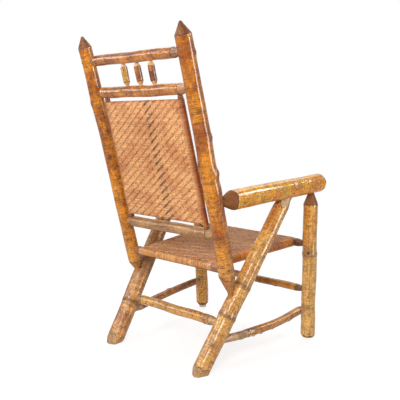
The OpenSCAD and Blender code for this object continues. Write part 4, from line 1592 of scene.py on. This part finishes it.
    def _cross(self, node: str) -> Pole:
        """The rear or the front stretcher.

        Args:
            node: Name of its CAD node.

        Returns:
            The pole.
        """
        lay = self.layout
        rear = node == "rear_stretcher"
        z, radius = self.rear_stretcher if rear else self.front_stretcher
        lines = [lay.rear_leg(side) if rear else lay.front_leg(side) for side in Side]
        radii = lay.rear_leg_radius if rear else (lay.front_leg_radius,) * 2
        across = Vector((-1, 0, 0))
        skins = tuple(reach(r, line.direction, across, self.rail_tenon) for r, line in zip(radii, lines))
        knots = (
            Knot(0.2, facing(0.2), 0.0016, 0.008), Knot(0.385, facing(-0.2), 0.0014, 0.009, RING, 0.5),
        ) if rear else (Knot(0.4, (0, 0, -1), 0.002, 0.007), Knot(0.3, facing(0.5), 0.001, 0.007))
        return rail(node, Line(lines[0].at_height(z), across), lines[1].at_height(z), skins, radius,
                    self.rail_tenon, self.shoulder, 16 if rear else 20, (0.6, 0.65) if rear else (0.5, 0.05),
                    knots=knots, segments=40)

    def _glide(self, side: Side, material: Material) -> None:
        """A domed glide under a front leg, with its pin.

        Args:
            side: Side of the chair.
            material: Its finish.
        """
        r, h, pin = self.glide_radius, self.glide_height, self.glide_pin
        bm = turned([
            (0, 0), (r - 0.0045, 0), (r - 0.0026, 0.0004), (r - 0.0010, 0.0018), (r - 0.0002, 0.0040),
            (r, 0.0058), (r - 0.0002, h - 0.0004), (r - 0.0006, h), (pin, h), (pin, h + 0.02),
            (0, h + 0.021)], 48)
        bmesh.ops.recalc_face_normals(bm, faces=bm.faces)
        bmesh.ops.translate(bm, verts=bm.verts, vec=self.layout.front_leg(side).origin)
        finish_piece(bm, side.named("glide_disc"), material, (side.named("glide"),))


# Woven covers
@dataclass
class WovenCover:
    """Cane woven on both faces of four rods: wefts loop round the side rods, warps round the end rods.

    The corners run from the first side's lower end, across to the second side, up, and back.
    """

    name: str
    corners: tuple[Vector, Vector, Vector, Vector]
    normal: Vector
    rod: float
    wefts: int
    warps: int
    curved_rows: int
    weft_width: float = 0.00295
    warp_width: float = 0.0036
    thick: float = 0.0009
    lift: float = 0.00048
    clear: float = 0.0012
    repeat: int = 8
    over: int = 3
    turn_steps: int = 7
    ridge_steps: int = 3
    side_blend: float = 0.010
    side_reach: float = 0.010
    # Wrap colour beside and round a side rod, strongest on its outer side: partly stain and partly painted
    # shade
    side_stain_and_shade: float = 0.45
    turn_stain_and_shade: float = 0.55
    ridge_reach: float = 1.2
    ridge_stain: float = 0.6
    unevenness: Pair = (-0.1, 0.03)
    stray: float = 0.00012
    shade: Pair = (0.05, 0.08)
    dark_spread: Pair = (-0.25, 0.15)
    dark_warps: tuple[Triple, ...] = ()

    def build(self, weft: Material, warp: Material, slot: str) -> None:
        """Makes the two pieces of the cover.

        Args:
            weft: Finish of the strands that cross from side to side.
            warp: Finish of the strands that run the other way.
            slot: The record's material slot; not used.
        """
        self._piece(self.name + "_wefts", self._weft_paths(), self.weft_width, weft, False)
        self._piece(self.name + "_warps", self._warp_paths(), self.warp_width, warp, True)

    def _rows(self) -> tuple[Array, Array, Array]:
        """Where the wefts lie: on the flat, and on the curve over each end rod.

        Returns:
            Share of the way between the end rods, angle round an end rod, and row number.
        """
        c = [np.array(v) for v in self.corners]
        pitch = np.linalg.norm(c[3] - c[0]) / self.wefts
        angle = (np.arange(self.curved_rows) + 0.5) * pitch / (self.rod + self.clear)
        flat = (np.arange(self.wefts) + 0.5) / self.wefts
        share = np.concatenate([0 * angle, flat, 0 * angle + 1])
        angles = np.concatenate([-angle[::-1], 0 * flat, angle])
        return share, angles, np.arange(len(share)) - self.curved_rows

    def _rise(self, face: int, rows: Array, warps: Array, is_warp: bool) -> Array:
        """How far a strand stands off the middle of the weave at each crossing, in a twill of 5 and 3.

        Args:
            face: 0 for the outer face and 1 for the other one.
            rows: Row number of the weft at each crossing.
            warps: Number of the warp at each crossing.
            is_warp: True for a warp, False for a weft.

        Returns:
            The rise at each crossing.
        """
        over = ((warps + rows) if face == 0 else (rows - warps)) % self.repeat < self.over
        return np.where(over == is_warp, self.lift, -self.lift)

    def _weft_paths(self) -> Strands:
        """Paths of the wefts.

        Returns:
            Centres, outward directions, stain and distance along, by strand and step.
        """
        c = [np.array(v) for v in self.corners]
        n, up = np.array(self.normal), self._up()
        share, angle, rows = self._rows()
        start = c[0] + (c[3] - c[0]) * share[:, None]
        run = c[1] + (c[2] - c[1]) * share[:, None] - start
        length = np.linalg.norm(run, axis=1)
        ahead = run / length[:, None]
        radius = self.rod + self.clear
        shift = up * (radius * np.sin(angle))[:, None]
        u = (np.arange(self.warps) + 0.5) / self.warps
        phi = np.linspace(math.pi / 2, -math.pi / 2, self.turn_steps + 2)[1:-1]
        centres, outs, stains_and_shade, runs = [], [], [], []
        for face, sign in enumerate((1, -1)):
            at = u[:: sign]
            warp = np.arange(self.warps)[:: sign]
            rise = self._rise(face, rows[:, None], warp[None], False)
            flat = start[:, None] + run[:, None] * at[None, :, None]
            edge = np.minimum(at, 1 - at)[None] * length[:, None]
            field_share = np.clip(edge / self.side_blend, 0, 1)[..., None]
            turned = angle[:, None, None] * field_share
            out = sign * np.cos(turned) * n + np.sin(turned) * up
            curved = flat + (radius + rise)[..., None] * out
            straight = flat + shift[:, None] + sign * (radius + rise)[..., None] * n
            centres.append(straight + (curved - straight) * field_share)
            outs.append(out)
            # Beside a side rod the wefts take on the wrap colour: partly stain and partly painted shade
            stains_and_shade.append(self.side_stain_and_shade * np.clip(1 - edge / self.side_reach, 0, 1))
            runs.append(at[None] * length[:, None])
            hub = (start + run if sign == 1 else start) + shift
            ring = np.cos(phi)[None, :, None] * sign * ahead[:, None] + sign * np.sin(phi)[None, :, None] * n
            centres.append(hub[:, None] + radius * ring)
            outs.append(ring)
            # Round a side rod the wrap colour is strongest on its outer side: partly stain and partly painted
            # shade
            stain = self.side_stain_and_shade + self.turn_stain_and_shade * np.cos(phi)[None]
            stains_and_shade.append(np.broadcast_to(stain, (len(rows), len(phi))))
            arc = radius * (math.pi / 2 - np.abs(phi))[None]
            runs.append(length[:, None] + arc if sign == 1 else 0 * length[:, None] - arc)
        return tuple(np.concatenate(part, 1) for part in (centres, outs, stains_and_shade, runs))

    def _warp_paths(self) -> Strands:
        """Paths of the warps.

        Returns:
            Centres, outward directions, stain and distance along, by strand and step.
        """
        c = [np.array(v) for v in self.corners]
        n, up = np.array(self.normal), self._up()
        share, angle, rows = self._rows()
        u = ((np.arange(self.warps) + 0.5) / self.warps)[:, None]
        start = c[0] + (c[1] - c[0]) * u
        run = c[3] + (c[2] - c[3]) * u - start
        length = np.linalg.norm(run, axis=1)[:, None]
        radius = self.rod + self.clear
        centres, outs, stains_and_shade, runs = [], [], [], []
        for face, sign in enumerate((1, -1)):
            at, turned, row = share[:: sign], angle[:: sign], rows[:: sign]
            rise = self._rise(face, row[None], np.arange(self.warps)[:, None], True)
            out = (sign * np.cos(turned)[:, None] * n + np.sin(turned)[:, None] * up)[None]
            flat = start[:, None] + run[:, None] * at[None, :, None]
            centres.append(flat + (radius + rise)[..., None] * out)
            outs.append(np.broadcast_to(out, (self.warps, len(row), 3)))
            # Share of the wrap colour as a warp turns onto an end rod; on the seat the dark faces against the
            # pale wraps are partly dirt and partly painted shade
            stain = np.clip(np.abs(turned) / self.ridge_reach, 0, self.ridge_stain)[None]
            stains_and_shade.append(np.broadcast_to(stain, (self.warps, len(row))))
            runs.append(at[None] * length + radius * turned[None])
            ridge = (start + run if sign == 1 else start)[:, None]
            turn = np.linspace(angle.max(), math.pi - angle.max(), self.ridge_steps + 2)[1:-1]
            ring = (sign * np.cos(turn)[:, None] * n + sign * np.sin(turn)[:, None] * up)[None]
            centres.append(ridge + radius * ring)
            outs.append(np.broadcast_to(ring, (self.warps, len(turn), 3)))
            stains_and_shade.append(np.ones((self.warps, len(turn))))
            arc = radius * np.minimum(turn, math.pi - turn)[None]
            runs.append(length + arc if sign == 1 else 0 * length - arc)
        return tuple(np.concatenate(part, 1) for part in (centres, outs, stains_and_shade, runs))

    def _up(self) -> Array:
        """Unit direction from the first end rod to the other."""
        c = [np.array(v) for v in self.corners]
        up = c[3] + c[2] - c[0] - c[1]
        return up / np.linalg.norm(up)

    def _piece(self, name: str, paths: Strands, width: float, material: Material,
               is_warp: bool) -> None:
        """Lays one set of strands as closed belts.

        Args:
            name: Name of the piece.
            paths: Centres, outward directions, share of the wrap colour (partly stain and partly painted
                shade) and distance along, by strand and step.
            width: Width of a strand.
            material: Its finish.
            is_warp: True for the set that holds the dark strands.
        """
        centre, out, stain, along = paths
        count, steps = centre.shape[:2]
        heading = np.roll(centre, -1, 1) - np.roll(centre, 1, 1)
        beside = np.cross(out, heading)
        beside /= np.linalg.norm(beside, axis=2, keepdims=True)
        belt, section, corner = self._belt(steps)
        side = np.array([1.0, 0.0, -1.0, 0.0])[corner]
        top = np.array([0.0, 1.0, 0.0, -1.0])[corner]
        rng = np.random.default_rng(len(name))
        own_width = width * (1 + rng.uniform(*self.unevenness, (count, 1, 1)))
        drift = np.cumsum(rng.normal(0, 1, (count, steps)), 1)
        drift = self.stray * (drift - drift.mean(1, keepdims=True)) / math.sqrt(steps)
        co = centre[:, section] + beside[:, section] * (side[None, :, None] * own_width / 2)
        co = co + beside[:, section] * drift[:, section, None]
        co = co + out[:, section] * top[None, :, None] * self.thick / 2
        bm = bmesh.new()
        for _ in range(count):
            bm.from_mesh(belt)
        mesh = bpy.data.meshes.new(name)
        bm.to_mesh(mesh)
        bm.free()
        mesh.vertices.foreach_set("co", co.reshape(-1).astype(np.float32))
        own = rng.uniform(0, 1, (count, 1)) + np.zeros((1, len(section)))
        strand = np.stack([along[:, section], np.broadcast_to(side, own.shape), own], -1)
        self._store(mesh, "strand", "FLOAT_VECTOR", "vector", strand)
        self._store(mesh, "wrap", "FLOAT", "value", stain[:, section])
        shade = np.broadcast_to(self._shades(centre[:, 0], is_warp, rng)[:, None], own.shape)
        self._store(mesh, "shade", "FLOAT", "value", shade)
        tidy = bmesh.new()
        tidy.from_mesh(mesh)
        bmesh.ops.recalc_face_normals(tidy, faces=tidy.faces)
        tidy.to_mesh(mesh)
        tidy.free()
        finish_mesh(mesh, name, material, (self.name,), 80)

    def _shades(self, start: Array, is_warp: bool, rng: np.random.Generator) -> Array:
        """How dark each strand is.

        Args:
            start: Each strand's first point.
            is_warp: True for the set that holds the dark strands.
            rng: The layer's random numbers.

        Returns:
            A shade from 0 to 1 for each strand.
        """
        shade = np.clip(rng.normal(*self.shade, len(start)), 0, 0.35)
        if is_warp:
            for low, high, dark in self.dark_warps:
                inside = (start[:, 0] > low) & (start[:, 0] < high)
                own = dark + rng.uniform(*self.dark_spread, len(start))
                shade = np.where(inside, np.maximum(shade, own), shade)
        return np.clip(shade, 0, 1)

    def _store(self, mesh: bpy.types.Mesh, name: str, kind: str, key: str, values: Array) -> None:
        """Writes values to a new attribute of the mesh's points.

        Args:
            mesh: The mesh.
            name: The attribute's name.
            kind: Its data type.
            key: The property that holds a value.
            values: One value or vector for each point.
        """
        data = mesh.attributes.new(name, kind, "POINT").data
        data.foreach_set(key, np.ascontiguousarray(values, dtype=np.float32).reshape(-1))

    def _belt(self, steps: int) -> tuple[bpy.types.Mesh, Array, Array]:
        """One closed belt with a four-sided section, spun round Z.

        Args:
            steps: Number of sections round the belt.

        Returns:
            The belt, and the section and the corner that each of its vertices belongs to.
        """
        radius = 10
        bm = bmesh.new()
        made = bmesh.ops.create_circle(bm, cap_ends=False, radius=1, segments=4)
        turn = Matrix.Rotation(math.pi / 2, 4, "X")
        bmesh.ops.transform(bm, matrix=Matrix.Translation((radius, 0, 0)) @ turn, verts=made["verts"])
        spin(bm, steps)
        belt = bpy.data.meshes.new("belt")
        bm.to_mesh(belt)
        bm.free()
        co = np.zeros(len(belt.vertices) * 3)
        belt.vertices.foreach_get("co", co)
        co = co.reshape(-1, 3)
        section = np.rint(np.arctan2(co[:, 1], co[:, 0]) / (2 * math.pi) * steps).astype(int) % steps
        out = np.hypot(co[:, 0], co[:, 1]) - radius
        corner = np.rint(np.arctan2(co[:, 2], out) / (math.pi / 2)).astype(int) % 4
        return belt, section, corner


@dataclass
class WovenParts:
    """The woven back and seat, and the seat's four rails."""

    layout: Layout
    patterns: Patterns
    back: BackFrame
    gap_top: float = 0.014
    gap_foot: float = 0.012
    weave: float = 0.0022
    rail_radius: float = 0.015
    rear_height: float = 0.330
    front_height: float = 0.357
    front_droop: float = 0.004
    width_rear: float = 0.322
    width_front: float = 0.408
    rail_tenon: float = 0.0105
    shoulder: float = 0.024
    side_skin: float = 0.012
    side_shoulder: float = 0.01
    side_past: float = -0.004
    # Dark strands of the back: from and to, across the chair, and how dark
    dark_warps: tuple[Triple, ...] = (
        (-0.044, -0.009, 0.76), (0.144, 0.150, 0.7), (0.078, 0.082, 0.45), (0.008, 0.013, 0.4),
        (-0.163, -0.159, 0.35))
    seat_bark: BarkFinish = BarkFinish(
        "seat_rail_bark", (226, 168, 120), (202, 138, 90), (130, 82, 50), (70, 44, 30), (196, 126, 74),
        (112, 64, 36), mottling=0.4, ringing=0.4)
    stained: BarkFinish = BarkFinish(
        "stained_pole", (150, 84, 40), (96, 52, 26), (48, 28, 16), (28, 17, 12), (140, 76, 38), (66, 36, 20),
        mottling=0.5, ringing=0.3, blooming=0.1)
    # The back's wefts turn dark red-brown round the side rods: partly stain and partly painted shade on the
    # rods' outer sides
    back_weft: CaneFinish = CaneFinish(
        "back_cane_wefts", (250, 194, 132), (230, 160, 100), (112, 66, 42), (172, 86, 14), (114, 50, 8))
    back_warp: CaneFinish = CaneFinish(
        "back_cane_warps", (232, 162, 102), (196, 122, 72), (60, 50, 50), (196, 110, 62), (160, 80, 44))
    seat_weft: CaneFinish = CaneFinish(
        "seat_cane_wefts", (255, 193, 120), (208, 124, 68), (54, 30, 16), (248, 164, 78), (218, 128, 52))
    # The seat's warps are dark on its faces and pale where they wrap the front and rear rails: the dark faces
    # are partly dirt and partly painted shade from the back
    seat_warp: CaneFinish = CaneFinish(
        "seat_cane_warps", (116, 70, 38), (76, 44, 22), (44, 26, 16), (246, 182, 112), (220, 148, 80))

    def build(self) -> None:
        """Makes the woven covers and the seat rails."""
        lay, patterns = self.layout, self.patterns
        low, high = self.panel_levels()
        corners = [self.panel_point(side, s) for side, s in (
            (Side.LEFT, low), (Side.RIGHT, low), (Side.RIGHT, high), (Side.LEFT, high))]
        # The pattern counts its warps toward the sitter's left, and the outer face is the rear one
        order = (corners[1], corners[0], corners[3], corners[2])
        cover = WovenCover("back_weave", order, lay.back_normal, self.back.rod_radius, wefts=125, warps=83,
                           curved_rows=4, dark_warps=self.dark_warps)
        cover.build(self.back_weft.material(patterns), self.back_warp.material(patterns), "woven_cane")
        seat = [self._seat_corner(side, front) for side, front in (
            (Side.RIGHT, False), (Side.LEFT, False), (Side.LEFT, True), (Side.RIGHT, True))]
        normal = (seat[1] - seat[0]).cross(seat[2] - seat[1]).normalized()
        if normal.z < 0:
            normal = -normal
        bench = WovenCover("seat_weave", tuple(seat), normal, self.rail_radius, wefts=128, warps=86,
                           curved_rows=2, weft_width=0.0029, warp_width=0.0034)
        bench.build(self.seat_weft.material(patterns), self.seat_warp.material(patterns), "woven_cane")
        self._seat_rails()

    def _panel_height(self) -> float:
        """Distance along the back from the lower rail to the upper one."""
        back, lay = self.back, self.layout
        return (lay.back_middle(back.upper[0]) - lay.back_middle(back.lower[0])).length

    def panel_levels(self) -> Pair:
        """Distances of the panel's lower and upper rod above the lower rail."""
        back = self.back
        wrap = back.rod_radius + self.weave
        top = self._panel_height() - back.upper[1] - self.gap_top - wrap
        return back.lower[1] + self.gap_foot + wrap, top

    def panel_point(self, side: Side, s: float) -> Vector:
        """A point on a side rod's line.

        Args:
            side: Side of the chair.
            s: Its distance above the lower rail, along the back.

        Returns:
            The point.
        """
        foot, top = self.back.rod_ends(side)
        return foot + (top - foot) * s / self._panel_height()

    def _seat_corner(self, side: Side, front: bool) -> Vector:
        """Where a side seat rail's line meets the front or the rear rail's.

        Args:
            side: Side of the chair.
            front: True for the front rail.

        Returns:
            The point.
        """
        lay = self.layout
        width = self.width_front if front else self.width_rear
        height = self.front_height if front else self.rear_height
        line = lay.front_leg(Side.LEFT) if front else lay.post(Side.LEFT)
        droop = self.front_droop if front and side is Side.RIGHT else 0.0
        return Vector((side.value * width / 2 - lay.middle_x, line.at_height(height).y, height - droop))

    def _seat_rails(self) -> None:
        """The four rails that the seat's cane wraps."""
        lay = self.layout
        bare = self.seat_bark.material(self.patterns)
        for node, finish, slot, seed, tones in (
            ("rear_seat_rail", bare, "rail_bark", 18, (0.4, 0.4)),
            ("front_seat_rail", self.stained.material(self.patterns), "stained_pole", 19, (0.2, 0.2)),
        ):
            rear = node == "rear_seat_rail"
            hosts = [lay.post(side) if rear else lay.front_leg(side) for side in Side]
            z = self.rear_height if rear else self.front_height
            a, b = hosts[0].at_height(z), hosts[1].at_height(z if rear else z - self.front_droop)
            v = (b - a).normalized()
            radii = lay.post_radius if rear else (lay.front_leg_radius,) * 2
            skins = tuple(reach(r, line.direction, v, self.rail_tenon) for r, line in zip(radii, hosts))
            rail(node, Line(a, v), b, skins, self.rail_radius, self.rail_tenon, self.shoulder, seed, tones,
                 segments=36, wander=0.0002, uneven=0.005).build(finish, slot)
        for side in Side:
            a, b = self._seat_corner(side, False), self._seat_corner(side, True)
            rail(side.named("seat_rail"), Line(a, (b - a).normalized()), b, (self.side_skin,) * 2,
                 self.rail_radius, self.rail_tenon, self.side_shoulder, 24 + side.value, segments=24,
                 step=0.01, wander=0.0, uneven=0.002, past=self.side_past).build(bare, "rail_bark")


@dataclass
class Fasteners:
    """The nails that pin the tenons, and the tacks that hold the back's cane."""

    layout: Layout
    back: BackFrame
    legs: LegsAndArms
    woven: WovenParts
    nail_head: float = 0.0023
    nail_shank: float = 0.0010
    nail_length: float = 0.022
    tack_head: float = 0.00275
    tack_length: float = 0.011
    tack_inset: float = 0.014
    dome: float = 0.0013
    steel: SmallPartFinish = SmallPartFinish("nail_steel", (52, 46, 42), (96, 72, 54), 0.7, 0.4, 700)

    def build(self) -> None:
        """Makes the nails and the tacks, each kind as one piece."""
        steel = self.steel.material()
        nails = self._set(self._nail_places(), self.nail_head, self.nail_length)
        finish_piece(nails, "joint_nail_heads", steel, ("joint_nails",), 50)
        tacks = self._set(self._tack_places(), self.tack_head, self.tack_length)
        finish_piece(tacks, "weave_tack_heads", steel, ("weave_tacks",), 50)

    def _set(self, places: list[tuple[Vector, Vector]], head: float, length: float) -> BMesh:
        """Drives one nail at each place.

        Args:
            places: Points on the skin and the directions that the heads face.
            head: Radius of a head.
            length: Length of a shank.

        Returns:
            All the nails in one mesh.
        """
        dome, shank = self.dome, self.nail_shank
        one = turned([
            (0, dome), (head * 0.45, dome * 0.9), (head * 0.8, dome * 0.6), (head, dome * 0.12),
            (head * 0.96, -0.0004), (shank, -0.0004), (shank, 0.002 - length), (0, -length)], 20)
        bmesh.ops.recalc_face_normals(one, faces=one.faces)
        mesh = bpy.data.meshes.new("nail")
        one.to_mesh(mesh)
        one.free()
        all_of_them = bmesh.new()
        for point, direction in places:
            before = len(all_of_them.verts)
            all_of_them.from_mesh(mesh)
            all_of_them.verts.ensure_lookup_table()
            place = Matrix.Translation(point) @ direction.to_track_quat("Z", "Y").to_matrix().to_4x4()
            bmesh.ops.transform(all_of_them, matrix=place, verts=all_of_them.verts[before:])
        return all_of_them

    def _nail_places(self) -> list[tuple[Vector, Vector]]:
        """A nail's place at each joint, as in the CAD part.

        Returns:
            Points on the skin and the directions that the heads face.
        """
        lay, legs, back, woven = self.layout, self.legs, self.back, self.woven
        places = []
        for side in Side:
            post, rear, front, arm = lay.post(side), lay.rear_leg(side), lay.front_leg(side), lay.arm(side)
            post_r, rear_r = lay.pick(side, lay.post_radius), lay.pick(side, lay.rear_leg_radius)
            low = rear.at_height(lay.pick(side, legs.side_rear_height))
            high = front.at_height(lay.pick(side, legs.side_front_height))
            v = (high - low).normalized()
            for z in (back.crest[0], back.upper[0], back.lower[0], woven.rear_height):
                places.append((post.at_height(z), lay.back_normal, post_r))
            behind = rear.direction.cross(Vector((1, 0, 0))).normalized()
            places.append((rear.at_height(legs.rear_stretcher[0]), behind, rear_r))
            places.append((low, outward(side, v, rear.direction), rear_r))
            for z in (woven.front_height, legs.front_stretcher[0]):
                places.append((front.at_height(z), Vector((0, -1, 0)), lay.front_leg_radius))
            places.append((high, outward(side, v, front.direction), lay.front_leg_radius))
            for point, host, r in ((arm.origin, post, post_r), (lay.rear_top(side), rear, lay.arm_radius),
                                   (lay.front_top(side), front, lay.arm_radius)):
                places.append((point, outward(side, arm.direction, host.direction), r))
            places.append((post.origin, outward(side, rear.direction, post.direction), rear_r))
        return [(point + direction * r, direction) for point, direction, r in places]

    def _tack_places(self) -> list[tuple[Vector, Vector]]:
        """A tack's place at each corner of the back's cane, as in the CAD part.

        Returns:
            Points on the skin and the directions that the heads face.
        """
        low, high = self.woven.panel_levels()
        n = self.layout.back_normal
        wrap = self.back.rod_radius + self.woven.weave
        return [(self.woven.panel_point(side, s) + n * wrap, n)
                for side in Side for s in (low + self.tack_inset, high - self.tack_inset)]


# Stage
@dataclass(frozen=True)
class Lamp:
    """A softbox that faces the chair, with its power in watts; a glint shows in the gloss alone."""

    name: str
    place: Triple
    width: float
    height: float
    power: float
    glint: bool = False


@dataclass
class Studio:
    """The floor, the soft lights and the camera at the photograph's view."""

    camera_place: Triple = (-1.53697, 1.57976, 0.82421)
    camera_right: Triple = (-0.71678862, -0.69721844, -0.01002634)
    camera_up: Triple = (0.08893001, -0.10566886, 0.99041685)
    camera_back: Triple = (-0.69159636, 0.70902789, 0.13774588)
    focal_pixels: float = 617.85
    middle: Pair = (201.068, 200.627)
    picture: float = 400.0
    sensor: float = 36.0
    aim: Triple = (0, 0, 0.5)
    fade: Pair = (0.5, 1.6)
    floor_share: float = 0.6
    floor_glow: float = 1.29
    dim_world: float = 0.25
    lamps: tuple[Lamp, ...] = (
        Lamp("key_softbox", (-1.55, 2.35, 1.9), 0.9, 0.9, 62),
        Lamp("roof_softbox", (0.8, -1.1, 2.9), 2.4, 2.4, 50),
        Lamp("right_strip", (-2.75, -0.8, 1.1), 0.75, 2.4, 120, True),
        Lamp("left_strip", (0.8, 2.8, 1.6), 0.45, 2.0, 30, True),
        Lamp("left_softbox", (0.6, 2.85, 1.6), 0.45, 0.9, 15),
        Lamp("rail_strip", (2.1, 1.8, 1.65), 1.1, 0.8, 28, True),
        Lamp("arm_strip", (-1.35, -1.1, 1.95), 0.5, 0.5, 34, True),
        Lamp("leg_strip", (-0.05, 1.6, 2.6), 0.9, 0.7, 80, True))

    def build(self) -> None:
        """Sets the stage."""
        bpy.context.scene.view_settings.view_transform = "Standard"
        self._camera()
        self._floor()
        self._world()
        for lamp in self.lamps:
            self._hang(lamp)

    def _camera(self) -> None:
        """Stands the camera where the photograph was taken from."""
        data = bpy.data.cameras.new("camera")
        data.sensor_width = self.sensor
        data.lens = self.focal_pixels / self.picture * self.sensor
        data.shift_x = (self.picture / 2 - self.middle[0]) / self.picture
        data.shift_y = (self.middle[1] - self.picture / 2) / self.picture
        data.clip_end = 50
        camera = put("camera", data)
        axes = Matrix((self.camera_right, self.camera_up, self.camera_back)).transposed()
        camera.matrix_world = Matrix.Translation(self.camera_place) @ axes.to_4x4()
        bpy.context.scene.camera = camera

    def _hang(self, lamp: Lamp) -> None:
        """Hangs a lamp so that it faces the chair."""
        data = bpy.data.lights.new(lamp.name, "AREA")
        data.shape = "RECTANGLE"
        data.size, data.size_y = lamp.width, lamp.height
        data.energy = lamp.power
        hung = put(lamp.name, data)
        hung.visible_diffuse = not lamp.glint
        away = (Vector(self.aim) - Vector(lamp.place)).normalized()
        turn = away.to_track_quat("-Z", "Y").to_matrix().to_4x4()
        hung.matrix_world = Matrix.Translation(lamp.place) @ turn

    def _world(self) -> None:
        """A white surround that lights the chair more softly than it looks."""
        world = bpy.data.worlds.new("studio")
        bpy.context.scene.world = world
        world.use_nodes = True
        b = NodeBench(world.node_tree)
        strength = b.feed_all(b.add("ShaderNodeMapRange"), Value=b.seen())
        strength.inputs["To Min"].default_value = self.dim_world
        strength.inputs["To Max"].default_value = 1.0
        background = world.node_tree.nodes["Background"]
        background.inputs["Color"].default_value = (1, 1, 1, 1)
        b.feed(background.inputs["Strength"], strength.outputs["Result"])

    def _floor(self) -> None:
        """A pale floor that fades into the surround and keeps the chair's shadow."""
        bm = bmesh.new()
        bmesh.ops.create_circle(bm, cap_ends=True, radius=6, segments=64)
        bmesh.ops.translate(bm, verts=bm.verts, vec=(0, 0, -0.0003))
        mesh = bpy.data.meshes.new("floor")
        bm.to_mesh(mesh)
        bm.free()
        floor = put("floor", mesh)
        mesh.materials.append(self._floor_material())

    def _floor_material(self) -> Material:
        """Builds the floor's finish.

        Returns:
            The material.
        """
        material, b, shader = new_material("pale_floor")
        place = b.add("ShaderNodeTexCoord").outputs["Object"]
        cloud = b.noise(place, (1.5, 1.5, 1.5), 2)
        tint = b.mix(b.span(cloud, 0.3, 0.7), (0.80, 0.795, 0.79, 1), (0.82, 0.815, 0.81, 1))
        b.feed(shader.inputs["Base Color"], tint)
        shader.inputs["Roughness"].default_value = 0.7
        white = b.add("ShaderNodeEmission")
        white.inputs["Color"].default_value = (1, 1, 1, 1)
        away = b.length(place)
        b.feed(white.inputs["Strength"], b.span(away, *self.fade, self.floor_glow, 1.0))
        blend = b.add("ShaderNodeMixShader")
        b.feed(blend.inputs[0], b.times(b.seen(), b.span(away, *self.fade, self.floor_share, 1.0)))
        b.feed(blend.inputs[1], shader.outputs[0])
        b.feed(blend.inputs[2], white.outputs[0])
        b.feed(material.node_tree.nodes["Material Output"].inputs["Surface"], blend.outputs[0])
        return material


def main() -> None:
    """Builds the chair's visible pieces and its stage, in order."""
    logging.basicConfig(level=logging.INFO, format="%(message)s")
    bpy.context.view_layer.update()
    Studio().build()
    layout, patterns = Layout(), Patterns()
    back = BackFrame(layout, patterns)
    back.build()
    legs = LegsAndArms(layout, patterns)
    legs.build()
    woven = WovenParts(layout, patterns, back)
    woven.build()
    Fasteners(layout, back, legs, woven).build()


if __name__ == "__main__":
    main()
